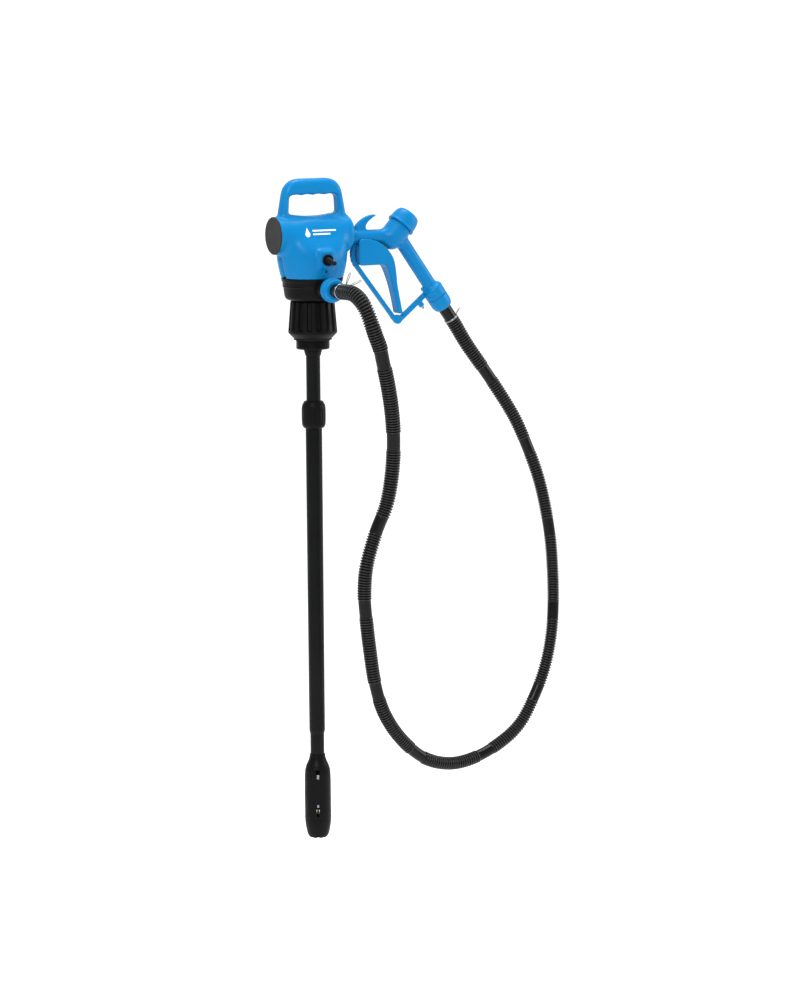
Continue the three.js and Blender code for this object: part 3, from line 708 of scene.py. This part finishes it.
def surface(name, field, low, high, step):
    """The mesh of a solid: one vertex in each grid cell that its surface crosses."""
    axes = [np.arange(a, b + step, step) for a, b in zip(low, high)]
    value = field([c.reshape([-1 if i == k else 1 for k in range(3)]) for i, c in enumerate(axes)])
    shape = np.array(value.shape)
    cells = shape - 1
    total = np.zeros((*cells, 3))
    count = np.zeros(cells)
    crossings = []
    for a in range(3):
        first = np.take(value, range(shape[a] - 1), a)
        second = np.take(value, range(1, shape[a]), a)
        crosses = (first < 0) != (second < 0)
        crossings.append((crosses, first < 0))
        where = np.argwhere(crosses)
        share = first[crosses] / (first[crosses] - second[crosses])
        place = where.astype(float)
        place[:, a] += share
        b, c = (a + 1) % 3, (a + 2) % 3
        for back_b in (0, 1):
            for back_c in (0, 1):
                cell = where.copy()
                cell[:, b] -= back_b
                cell[:, c] -= back_c
                fits = np.all((cell >= 0) & (cell < cells), axis=1)
                keys = tuple(cell[fits].T)
                np.add.at(total, keys, place[fits])
                np.add.at(count, keys, 1)
    used = count > 0
    number = np.full(cells, -1)
    number[used] = np.arange(used.sum())
    points = total[used] / count[used][:, None] * step + np.array([c[0] for c in axes])
    for _ in range(4):
        here = field(points.T)
        nudge = 0.02
        slope = np.stack([
            (field((points + nudge * unit).T) - field((points - nudge * unit).T)) / (2 * nudge)
            for unit in np.eye(3)
        ], axis=1)
        move = here[:, None] * slope / np.maximum((slope ** 2).sum(1), 0.2)[:, None]
        points -= np.clip(move, -step / 2, step / 2)
    faces = []
    for a, (crosses, inside) in enumerate(crossings):
        b, c = (a + 1) % 3, (a + 2) % 3
        where = np.argwhere(crosses)
        fits = (where[:, b] > 0) & (where[:, c] > 0)
        fits &= (where[:, b] < cells[b]) & (where[:, c] < cells[c])
        where = where[fits]
        quad = []
        for back_b, back_c in ((0, 0), (1, 0), (1, 1), (0, 1)):
            cell = where.copy()
            cell[:, b] -= back_b
            cell[:, c] -= back_c
            quad.append(number[tuple(cell.T)])
        quad = np.stack(quad, axis=1)
        flip = ~inside[tuple(where.T)]
        quad[flip] = quad[flip][:, ::-1]
        faces.append(quad)
    return new_object(name, points, np.concatenate(faces).tolist())


def halved(thing, name, keep):
    """The part of a closed mesh on one side of Y = 0, less half the gap between the shells."""
    half = bmesh.new()
    half.from_mesh(thing.data)
    plane = (0, keep * 0.15 * MM, 0)
    everything = [*half.verts, *half.edges, *half.faces]
    bmesh.ops.bisect_plane(half, geom=everything, dist=1e-8, plane_co=plane, plane_no=(0, -keep, 0),
                           clear_outer=True)
    rim = [edge for edge in half.edges if edge.is_boundary]
    bmesh.ops.triangle_fill(half, edges=rim, use_beauty=True)
    bmesh.ops.recalc_face_normals(half, faces=half.faces)
    mesh = bpy.data.meshes.new(name)
    half.to_mesh(mesh)
    half.free()
    mesh.polygons.foreach_set("use_smooth", [True] * len(mesh.polygons))
    mesh.set_sharp_from_angle(angle=math.radians(60))
    result = bpy.data.objects.new(name, mesh)
    bpy.context.collection.objects.link(result)
    return result


def spoke(angle, reach, thickness, heights):
    """A box reaching out from the Z axis at an angle."""
    c, s = math.cos(angle), math.sin(angle)
    corners = []
    for z in heights:
        for r, t in ((reach[0], -1), (reach[1], -1), (reach[1], 1), (reach[0], 1)):
            side = t * thickness / 2
            corners.append((r * c - side * s, r * s + side * c, z))
    faces = [(3, 2, 1, 0), (4, 5, 6, 7), (0, 1, 5, 4), (1, 2, 6, 5), (2, 3, 7, 6), (3, 0, 4, 7)]
    return new_object("tool", corners, faces)


# ---------------------------------------------------------------- nut in the bung

FRONT = (0, -1, 0)


def make_bung_nut():
    """The ribbed nut, its thread and its gasket."""
    thread_r, pitch, depth, bore = 29.75, 2.31, 1.1, 20
    thread = []
    for turn in range(6):
        z = -14.6 + turn * pitch
        thread += [(thread_r - depth, z, 0.3), (thread_r, z + pitch / 2, 0.3)]

    def ribs(angles, radius, height):
        rise = np.clip((height - 16.4) / 3, 0, 1) if radius > 34 else 0
        between = np.clip(0.5 - 1.5 * np.cos(16 * angles), 0, 1)
        return radius - 3.4 * rise * between * between * (3 - 2 * between)

    profile = [
        (bore, -16, 0.6), (thread_r - depth, -16, 0.8), *thread, (thread_r - depth, -0.2),
        (thread_r - depth, 2.7), (33.5, 2.7, 1), (43, 12.4, 1.6), (43, 16.4, 1), (42.7, 17.6),
        (42.5, 19.4), (41.2, 36), (38.7, 67, 1.2), (36.6, NUT_TOP), (bore, NUT_TOP, 0.6),
    ]
    nut = turned("bung_nut_ribbed", profile, segments=384, closed=True, sharp=35, wave=ribs)
    finish_piece(nut, "drum_nut", BLACK, "black_plastic", "bung_nut")
    ring = [(30.05, 0, 0.5), (33.4, 0, 0.8), (33.4, 2.4, 0.8), (30.05, 2.4, 0.5)]
    gasket = turned("bung_gasket_ring", ring, closed=True)
    finish_piece(gasket, "drum_nut", RUBBER, "black_rubber", "bung_gasket")


# ---------------------------------------------------------------- head


def make_base():
    """The black base of the head, with the neck in the nut and the boss of the outlet."""
    neck, bore = 19.6, 12.8
    shell = turned("base", [
        (0, 103), (50, 103, 0.4), (50, BASE_TOP, 0.4), (54.5, BASE_TOP, 0.8), (53.6, 103.2, 0.6),
        (52.5, 102.6, 0.6), (51.9, 95.4, 0.6), (52.3, 94.6, 0.4), (52, 93.2, 0.5), (50.9, 92.6, 0.6),
        (49.2, 80, 2), (48, 74, 3), (43.6, 70.4, 2), (38, NUT_TOP + 0.3, 1), (neck, NUT_TOP + 0.3),
        (neck, 2, 0.4), (bore, 2, 0.4), (bore, 75), (30, 75), (30, 99), (0, 99),
    ], segments=128)
    outlet = {"at": (0, 0, OUTLET_Z), "axis": FRONT}
    boss = turned("boss", [
        (7, 44), (19, 44, 0.5), (17.6, 62, 2), (16.8, 66, 0.8), (16.6, 66, 0.2), (16.6, 84, 0.6),
        (7, 84, 0.4),
    ], closed=True, **outlet)
    base = joined("base_moulding", shell, boss, sharp=32)
    finish_piece(base, "head", BLACK, "black_plastic", "base_housing")


def handle_outline():
    """The bow from the front: it narrows from its foot to the hand."""
    side, top, foot, foot_top, foot_end = 52.4, 282, 64, 218, 196
    return rounded([
        (foot, foot_end), (foot, foot_top, 14), (side, top, 29), (-side, top, 29),
        (-foot, foot_top, 14), (-foot, foot_end),
    ], steps=8, closed=True)


def finger_gap_outline():
    """The gap in the handle: scalloped for four fingers on top and dished below."""
    under, side, floor = 252.4, 47.5, 221
    finger, finger_rise, sag, sag_half = 22, 1.7, 4.6, 42.5
    knuckles = [
        (x, under + finger_rise * abs(math.sin(math.pi * x / finger))) for x in range(-31, 32, 2)
    ]
    dish = [(x, floor - sag * (1 - (x / sag_half) ** 2)) for x in range(36, -37, -4)]
    return rounded([
        *knuckles, (side - 2, under + 0.4, 13), (side, floor + 0.5, 11), *dish,
        (-side, floor + 0.5, 11), (-side + 2, under + 0.4, 13),
    ], steps=8, closed=True)


HANDLE = handle_outline()
FINGER_GAP = finger_gap_outline()
SKIRT = rounded([
    (0, BASE_TOP + 0.3), (54.5, BASE_TOP + 0.3), (59.3, 128, 12), (62, 147, 12), (63, 165, 16),
    (60, 190, 12), (48, 206, 10), (0, 217),
], closed=True)
SLOPE = rounded([
    (0, 95), (65, 95), (65, 140, 10), (61, 150, 6), (47, 170, 14), (36, 186, 14), (20, 214, 12),
    (10, 222, 6), (0, 224),
], closed=True)


SCREWS = ((-57, 228), (57, 228), (-36, 269), (36, 269), (-46, 124), (46, 124))
BOW_SCREWS_FROM = 200
BOW_HALF = 13
SEAT_IN_BOW = 10
SEAT_IN_SHELL = 24
SHELL_WALL = 3


def head_field(p):
    """Both shells with the handle: a skirt, a barrel across it and the bow on top, hollowed."""
    x, y, z = p
    across = (0, 0, BARREL_Z)
    body = polygon(np.hypot(x, y), z, SKIRT)
    body = overlap(body, polygon(np.abs(y), z, SLOPE), 12)
    off, along_x = from_axis(p, across, (1, 0, 0))
    barrel = rounded_pair(off - BARREL_R, along_x - BARREL_HALF, 11)
    barrel = overlap(barrel, -BARREL_HALF - along_x)
    body = union(body, barrel, 9)
    bow_end, gap_end = 200, 214
    bow = rounded_pair(polygon(x, z, HANDLE), np.abs(y) - BOW_HALF, 11)
    gap = polygon(x, z, FINGER_GAP)
    flare = np.maximum(np.abs(y) - 6, 0) ** 2 / 9
    bow = without(bow, gap - flare, 3)
    body = union(body, overlap(bow, bow_end - z), 7)
    body = without(body, overlap(gap, gap_end - z), 1.5)
    pad = round_box(p, (-15, 15), (-SWITCH_FACE, -45), (128, 160), 5)
    outer = union(body, pad, 6)
    hollow = overlap(outer + SHELL_WALL, z - 211)
    hollow = union(hollow, round_rod(p, (0, 0, 0), (0, 0, 1), 51, 90, 113))
    hollow = union(hollow, round_rod(p, across, (1, 0, 0), BARREL_R - SHELL_WALL, -90, 58))
    for x0, z0 in SCREWS:
        if z0 < BOW_SCREWS_FROM:
            hollow = without(hollow, round_rod(p, (x0, 0, z0), (0, 1, 0), 5, -60, 36, 0.5))
    solid = without(outer, hollow)
    for x0, z0 in SCREWS:
        seat = SEAT_IN_BOW if z0 > BOW_SCREWS_FROM else SEAT_IN_SHELL
        solid = without(solid, round_rod(p, (x0, 0, z0), (0, 1, 0), 3.6, seat - 3.3, 45, 0.1))
        solid = without(solid, round_rod(p, (x0, 0, z0), (0, 1, 0), 1.8, -9.3, 45, 0.1))
    solid = without(solid, round_rod(p, (0, 0, SWITCH_Z), FRONT, 8.2, 40, 80, 0.3))
    behind_switch = (-SWITCH_FACE + SHELL_WALL, -40)
    solid = without(solid, round_box(p, (-11, 11), behind_switch, (131, 157), 0.5))
    solid = without(solid, round_rod(p, (0, 0, LED_Z), FRONT, 1.9, 40, 80, 0.3))
    return without(solid, round_rod(p, (0, 0, SPOUT_Z), (1, 0, 0), 15.3, 40, 80, 0.5), 1)


def make_shells():
    """The head, cut down the middle into its front and rear shell."""
    whole = surface("head", head_field, (-76, -67, 104), (76, 67, 286), 1.6)
    front = halved(whole, "front_shell", -1)
    rear = halved(whole, "rear_shell", 1)
    bpy.data.objects.remove(whole)
    finish_piece(front, "head", PRINTED, "blue_plastic", "housing_front_shell", "handle_front")
    finish_piece(rear, "head", BLUE, "blue_plastic", "housing_rear_shell", "handle_rear")


def make_head_fittings():
    """The battery cap, the nozzle's holster, the switch, the charge light and the outlet nut."""
    left = {"at": (0, 0, BARREL_Z), "axis": (-1, 0, 0)}
    face = BARREL_HALF + 0.3
    cap = turned("battery_cap_disc", [
        (0, face - 8), (26, face - 8, 0.5), (26, face - 3), (29.5, face - 2), (29.5, face),
        (32.8, face, 0.5), (33, face + 1.6, 0.8), (31.8, face + 2.7, 0.6), (30.6, face + 2.1, 0.5),
        (0, face + 2.4),
    ], segments=128, sharp=40, **left)
    finish_piece(cap, "battery_cap", DARK_GREY, "dark_grey_plastic", "battery_cap")

    sleeve = turned("holster_sleeve", [
        (0, 5), (15, 5), (15, BARREL_HALF + 1, 0.6), (SPOUT_R + 0.7, BARREL_HALF + 1, 0.6),
        (SPOUT_R + 0.7, 7.5), (0, 7.5),
    ], at=(0, 0, SPOUT_Z), axis=(1, 0, 0), sharp=40)
    finish_piece(sleeve, "head", BLACK, "black_plastic", "nozzle_holster")

    switch = {"at": (0, 0, SWITCH_Z), "axis": FRONT}
    collar = turned("switch_collar", [
        (8.8, SWITCH_FACE + 0.3), (10.2, SWITCH_FACE + 0.3, 0.3), (10.2, 65.2, 0.8), (9.6, 66.6, 0.5),
        (8.8, 66.8, 0.3),
    ], closed=True, wave=lambda a, r, h: r + (0.15 * np.cos(18 * a) if r > 9.5 else 0 * a),
        segments=180, **switch)
    finish_piece(collar, "head", RUBBER, "black_rubber", "switch_nut")
    droop = math.radians(8)
    boot = turned("toggle_sleeve", [
        (2.4, 0.4), (7.2, 0.4), (6.9, 2, 0.6), (5.9, 5, 2), (5.2, 8, 1.4), (4.9, 11, 1.5),
        (4.6, 16, 1), (3.9, 26.5, 1), (3.7, 29.5, 1.6), (1.8, 31, 1), (0, 31.1), (0, 28), (2.4, 26),
    ], at=(0, -SWITCH_FACE, SWITCH_Z), axis=(0, -math.cos(droop), -math.sin(droop)), closed=True,
        segments=64)
    finish_piece(boot, "power_toggle", RUBBER, "black_rubber", "toggle_boot")
    light = turned("charge_window", [
        (0, 50), (1.6, 50), (1.6, 57.8, 0.2), (1.3, 58.8, 0.4), (0, 59.2),
    ], at=(0, 0, LED_Z), axis=FRONT, segments=32)
    finish_piece(light, "head", LENS, "red_lens", "charge_light")

    nut = turned("outlet_union_nut", [
        (17, 74, 0.4), (20, 74, 0.8), (OUTLET_NUT_R, 75.8, 1), (OUTLET_NUT_R, 84.2, 1),
        (20.2, 85.6, 0.6), (19.3, 86.2, 0.5), (18.8, 91.6, 0.8), (17.2, OUTLET_FACE, 1),
        (9.4, OUTLET_FACE, 0.4), (9.4, 89.6), (17, 89.6),
    ], at=(0, 0, OUTLET_Z), axis=FRONT, closed=True, segments=144, sharp=45)
    finish_piece(nut, "outlet_nut", BLUE, "blue_plastic", "outlet_nut")


# ---------------------------------------------------------------- wire clamps


def wire_clamp(name, place, toward, ring_r, ears):
    """A double ring of spring wire around the hose, with loops (foot, tip, half width) as ears."""
    wire, shift = 0.8, 0.85
    side, up, along = basis(toward)
    place = np.array(place, float)
    parts = []
    turns = np.linspace(0, 2 * math.pi, 61)[:-1]
    ring = ring_r * (np.outer(np.cos(turns), side) + np.outer(np.sin(turns), up))
    for offset in (-shift, shift):
        parts.append(swept("ring", place + ring + offset * along, wire, 8, loop=True))
    for foot, tip, wide in ears:
        foot, tip, wide = (np.array(c, float) for c in (foot, tip, wide))
        reach = tip - foot
        loop = []
        for t in np.linspace(0, 2 * math.pi, 33)[:-1]:
            climb = 0.5 - 0.5 * math.cos(t)
            loop.append(foot + reach * climb + wide * math.sin(t) * (0.35 + 0.65 * climb))
        parts.append(swept("ear", loop, wire, 8, loop=True))
    return joined(name, *parts)


def make_clamps():
    """One clamp on each end of the hose."""
    outlet = wire_clamp("outlet_wire_clamp", (0, -116, OUTLET_Z), FRONT, 13.1, [
        ((8, -116.5, 102.4), (14.8, -120, 125), (2.1, 0, -0.6)),
        ((10.5, -116.5, 99.8), (35.4, -121, 110.4), (-0.6, 0, 2)),
    ])
    finish_piece(outlet, "head", STEEL, "steel", "outlet_clamp")
    x, _, z = on_line(GRIP, 174)
    nozzle = wire_clamp("nozzle_wire_clamp", (x, 0, z), way_of(GRIP), 12.5, [
        (on_line(GRIP, 174, 12.5), (290.7, 0, 42), (0, 2.4, 0)),
    ])
    finish_piece(nozzle, "nozzle", STEEL, "steel", "nozzle_clamp")


# ---------------------------------------------------------------- tube and foot


def make_tubes():
    """The two tubes, the bush that carries them in the nut, and the collar that locks them."""
    inner = turned("upper_tube", [
        (10.8, -460, 0.4), (12.5, -460, 0.4), (12.5, 74.5), (10.8, 74.5),
    ], closed=True, sharp=40)
    finish_piece(inner, "head", TUBE, "tube_plastic", "inner_tube")
    bush = turned("neck_bush", [
        (12.8, -28, 0.4), (13.4, -28, 0.5), (15.8, -19.5, 1), (15.8, -16, 0.6), (19.5, -15.5, 0.4),
        (19.5, 1.6), (12.8, 1.6),
    ], closed=True, sharp=40)
    finish_piece(bush, "head", BLACK, "black_plastic", "tube_bushing")
    lower = turned("lower_tube_body", [
        (10.8, -744, 0.3), (12.4, -744, 0.4), (12.4, -702, 2), (14, -696, 3), (14.6, -113, 0.4),
        (12.8, -113, 0.3), (12.8, -692), (10.8, -698),
    ], closed=True, sharp=40)
    finish_piece(lower, "lower_tube", TUBE, "tube_plastic", "outer_tube")

    def grips(angles, radius, height):
        rise = np.clip(1 - np.abs(height + 131) / 15, 0, 1) * 3
        return radius - 0.5 * min(rise, 1) * (0.5 + 0.5 * np.cos(20 * angles)) ** 3

    collar = turned("tube_lock_collar", [
        (14.9, -156, 0.3), (15.8, -156, 0.5), (18.8, -154, 2), (20.8, -149.5, 3), (21.1, -142, 4),
        (21.2, -133), (21.1, -122, 4), (20.6, -115.8, 3), (18.6, -112.2, 2), (17.3, -109.6, 0.6),
        (16.2, -108, 0.6), (13, -108, 0.4), (13, -109.3), (14.9, -109.3),
    ], closed=True, segments=240, sharp=40, wave=grips)
    finish_piece(collar, "lock_collar", BLACK, "black_plastic", "lock_collar")


def make_foot():
    """The motor's housing with its ports, and the strainer cap under it."""
    inner, quarter, notch = 20.9, math.pi / 2, math.pi / 4
    housing = turned("foot_housing", [
        (12.7, -738, 0.3), (13.6, -738, 0.5), (14.4, -745, 2), (16.2, -750.5, 2), (19.6, -757.5, 2),
        (22.6, -767, 3), (23.3, -779, 3), (23.5, -853.6, 0.6), (23.1, -855), (inner, -855),
        (inner, -766, 1), (17, -757, 1), (12.7, -748),
    ], closed=True, segments=128)
    ports = ((6, (-783, -765)), (5, (-849, -827)))
    tools = [spoke(k * quarter + PORT_ANGLE, (15, 30), *port) for k in range(4) for port in ports]
    baked(cut_away(housing, *tools), sharp=32)
    finish_piece(housing, "lower_tube", BLACK, "black_plastic", "motor_housing")
    cup = turned("foot_strainer", [
        (0, FOOT_END), (12, FOOT_END, 1), (16, -888.2, 2), (19.4, -882, 3), (21.2, -873, 3),
        (22.4, -866.5, 2), (23.3, -857, 0.6), (23.1, FOOT_SEAM - 0.3), (inner, FOOT_SEAM - 0.3),
        (19.8, -866), (17.5, -876, 2), (12, -884, 2), (0, -886.5),
    ], segments=128)
    tools = [spoke(k * notch + PORT_ANGLE, (7, 26), 4, (-892, -885)) for k in range(8)]
    baked(cut_away(cup, *tools), sharp=32)
    finish_piece(cup, "lower_tube", BLACK, "black_plastic", "strainer_cap")


# ---------------------------------------------------------------- nozzle

HORN = rounded([
    (82, 178), (84, 195.7, 4), (93, 204.6, 5), (105.3, 211.7, 6), (117.5, 214.6, 4), (126.2, 213.6, 1),
    (117.4, 208.8, 4), (108, 201.4, 5), (103.9, 195, 4), (104.6, 189, 3), (108, 184), (108, 178),
], steps=5, closed=True)
CHAMBER = rounded([
    (0, -46), (9, -46, 3), (16.5, -41, 6), (CHAMBER_R, -30, 6), (CHAMBER_R, -1, 0.6),
    (21, -0.2), (21, 12), (0, 12),
], closed=True)
COLLAR = rounded([
    (0, 96), (GRIP_R - 0.2, 96), (GRIP_R + 1, 100.5, 2), (17.2, 103.6, 2), (19.2, 107.2, 1.6),
    (19.4, 110, 1), (18.7, 112, 0.8), (19, 114, 0.8), (19, GRIP_NUT - 0.3, 0.8), (15, GRIP_NUT - 0.3),
    (15, GRIP_NUT + 8, 0.4), (0, GRIP_NUT + 8),
], closed=True)


def nozzle_field(p):
    """The spout with its horn, the valve chamber and the grip, with the bores inside."""
    chamber_at, chamber_axis = on_line(VALVE, 0), way_of(VALVE)
    grip_at, grip_axis = on_line(GRIP, 0), way_of(GRIP)
    spout_at, spout_axis = (0, 0, SPOUT_Z), (1, 0, 0)
    body = polygon(*from_axis(p, chamber_at, chamber_axis), CHAMBER)
    spout = round_rod(p, spout_at, spout_axis, SPOUT_R, 10, 155, 1.5)
    horn = plate(p, HORN, 4.6, 2.2)
    spout = union(spout, horn, 4)
    spout = union(spout, round_box(p, (97.5, 111.5), (-11.5, 11.5), (142, 172), 1.2), 1.5)
    body = union(body, spout, 7)
    grip = round_rod(p, grip_at, grip_axis, GRIP_R, 0, 101, 1)
    grip = union(grip, polygon(*from_axis(p, grip_at, grip_axis), COLLAR), 0.8)
    body = union(body, grip, 6)
    body = union(body, round_rod(p, on_line(GRIP, 98, -14.6), (0, 1, 0), 3.5, -4, 4, 1.2), 1.5)
    for bore in ((18, -22, 14, 0.2), (11, -27, -21, 0.2), (13, -39, -26, 3), (3.3, -50, -38, 0.2)):
        body = without(body, round_rod(p, chamber_at, chamber_axis, *bore))
    body = without(body, round_rod(p, spout_at, spout_axis, 9, 5, 140, 0.2))
    body = without(body, round_rod(p, grip_at, grip_axis, 8, -2, GRIP_NUT + 12, 0.2))
    pivot = (TRIGGER_PIVOT[0], 0, TRIGGER_PIVOT[1])
    return without(body, round_rod(p, pivot, (0, 1, 0), 2.8, -20, 20, 0.1))


FRONT_BAR = [
    (89, 170), (84.5, 164), (80.5, 157), (79, 150), (79, 143), (80.5, 135), (84, 128), (158, 31),
    (163, 26),
]


def guard_field(p):
    """The V of two bars around the trigger, with the seat of the hold-open pin."""
    bar = strip(p, FRONT_BAR, [9, 8.6, 8.2, 7.8, 7.6, 7.5, 7.4, 7.4, 7.4], 4.6, 2)
    rear = strip(p, [(167, 24), (219, 67)], [9, 9], 4, 1.8)
    body = union(bar, rear, 3)
    body = union(body, round_rod(p, (166, 0, 27.5), (0, 1, 0), 8, -4.5, 4.5, 1.5), 2)
    latch = (LATCH[0], 0, LATCH[1])
    body = union(body, round_rod(p, latch, way_of(GRIP), 5, -2, 11, 1), 1.5)
    body = without(body, round_rod(p, (0, 0, SPOUT_Z), (1, 0, 0), SPOUT_R + 0.3, 50, 130, 0.1))
    grip_at, grip_axis = on_line(GRIP, 0), way_of(GRIP)
    body = without(body, round_rod(p, grip_at, grip_axis, GRIP_R + 0.3, 60, 112, 0.1))
    body = without(body, round_rod(p, grip_at, grip_axis, 19.3, 100, 160, 0.1))
    return without(body, round_rod(p, latch, way_of(GRIP), 2.8, -20, 20, 0.1))


CHEEK = rounded([
    (85, 126, 7), (85, 173.5, 14), (103, 173.5, 12), (125, 167, 12), (141.5, 154.6, 8),
    (154, 137, 14), (159.5, 112, 12), (162.5, 88, 8), (166.5, 67.6, 8), (172.5, 38, 3.5),
    (163.5, 38, 3.5), (157.5, 67.6, 8), (152.3, 88, 12), (144, 114, 10), (138, 126, 7),
], steps=7, closed=True)


def trigger_field(p):
    """The cheeks, filled between them above Z 122, tapering down into the bar for the fingers."""
    half = np.interp(p[2], [94, 130], [11.5, 15.2])
    body = rounded_pair(polygon(p[0], p[2], CHEEK), np.abs(p[1]) - half, 2.6)
    body = without(body, round_box(p, (70, 151), (-12.4, 12.4), (129, 190), 2))
    body = without(body, round_box(p, (70, 94), (-12.4, 12.4), (110, 190), 2))
    raised = rounded_pair(polygon(p[0], p[2], CHEEK) + 4, np.abs(p[1]) - 15.2, 1)
    body = union(body, overlap(raised, 122 - p[2]), 0.5)
    cam = on_line(VALVE, -55.7)
    body = union(body, round_rod(p, cam, (0, 1, 0), 3, -13, 13, 0.2))
    pivot = (TRIGGER_PIVOT[0], 0, TRIGGER_PIVOT[1])
    return without(body, round_rod(p, pivot, (0, 1, 0), 2.8, -14.2, 14.2, 0.1))


def make_nozzle():
    """The hand nozzle: its castings, pins, valve cap and hose nut."""
    body = surface("nozzle_casting", nozzle_field, (6, -25, 40), (266, 25, 220), 1.25)
    finish_piece(body, "nozzle", BLUE, "blue_plastic", "nozzle_body")
    guard = surface("guard_bow", guard_field, (70, -8, 14), (228, 8, 176), 0.9)
    finish_piece(guard, "nozzle", BLUE, "blue_plastic", "nozzle_guard")
    trigger = surface("trigger_casting", trigger_field, (81, -18, 34), (176, 18, 178), 1.1)
    finish_piece(trigger, "trigger", BLUE, "blue_plastic", "trigger_lever")
    pivot = (TRIGGER_PIVOT[0], 0, TRIGGER_PIVOT[1])
    pin = turned("trigger_axle", [
        (0, -13.9), (2.1, -13.9, 0.4), (2.5, -13.4, 0.3), (2.5, 13.4, 0.3), (2.1, 13.9, 0.4), (0, 13.9),
    ], at=pivot, axis=(0, 1, 0), segments=32, sharp=50)
    finish_piece(pin, "nozzle", STEEL, "steel", "trigger_pin")
    latch = turned("hold_open_button", [
        (0, -5), (2.5, -5, 0.3), (2.5, 15.6, 1), (1.6, 17, 0.6), (0, 17),
    ], at=(LATCH[0], 0, LATCH[1]), axis=way_of(GRIP), segments=32, sharp=50)
    finish_piece(latch, "hold_open_pin", STEEL, "steel", "hold_open_pin")

    cap = turned("valve_dome", [
        (0, 22), (17.5, 22), (17.5, 12.6), (21.4, 12.6), (21.4, 0.3), (25.6, 0.3, 0.8), (26, 3, 0.8),
        (25.4, 4.3, 0.5), (24.6, 4.9, 0.4), (23.9, 14, 3), (22.6, 21, 4), (19.5, 26.8, 4),
        (13, 29.2, 4), (0, 29.6),
    ], at=on_line(VALVE, 0), axis=way_of(VALVE), segments=144, sharp=45)
    finish_piece(cap, "nozzle", BLUE, "blue_plastic", "valve_cap")
    nut = turned("grip_union_nut", [
        (15.4, GRIP_NUT + 0.3, 0.3), (18.2, GRIP_NUT + 0.3, 0.6), (18.7, GRIP_NUT + 1.6, 0.6),
        (18.8, 139, 2), (17.6, 144, 2), (15.8, 148, 1.4), (14, GRIP_END, 0.8), (9.4, GRIP_END, 0.4),
        (9.4, GRIP_NUT + 11.3), (15.4, GRIP_NUT + 11.3),
    ], at=on_line(GRIP, 0), axis=way_of(GRIP), closed=True, segments=144, sharp=45)
    finish_piece(nut, "nozzle_hose_nut", BLUE, "blue_plastic", "hose_nut")


def finish_cad_pieces():
    """The CAD pieces inside keep their shape and take the materials of this script."""
    finishes = {
        "black_plastic": BLACK, "tube_plastic": TUBE, "black_rubber": RUBBER, "steel": STEEL,
        "brass": BRASS, "cell_wrap": CELL, "circuit_board": BOARD, "blue_plastic": BLUE,
        "dark_grey_plastic": DARK_GREY, "red_lens": LENS,
    }
    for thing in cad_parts.values():
        for slot in thing.material_slots:
            name = slot.material.name.split(".")[0]
            if name in finishes:
                slot.material = finishes[name]


make_bung_nut()
make_base()
make_shells()
make_head_fittings()
make_clamps()
make_tubes()
make_foot()
make_nozzle()
finish_cad_pieces()
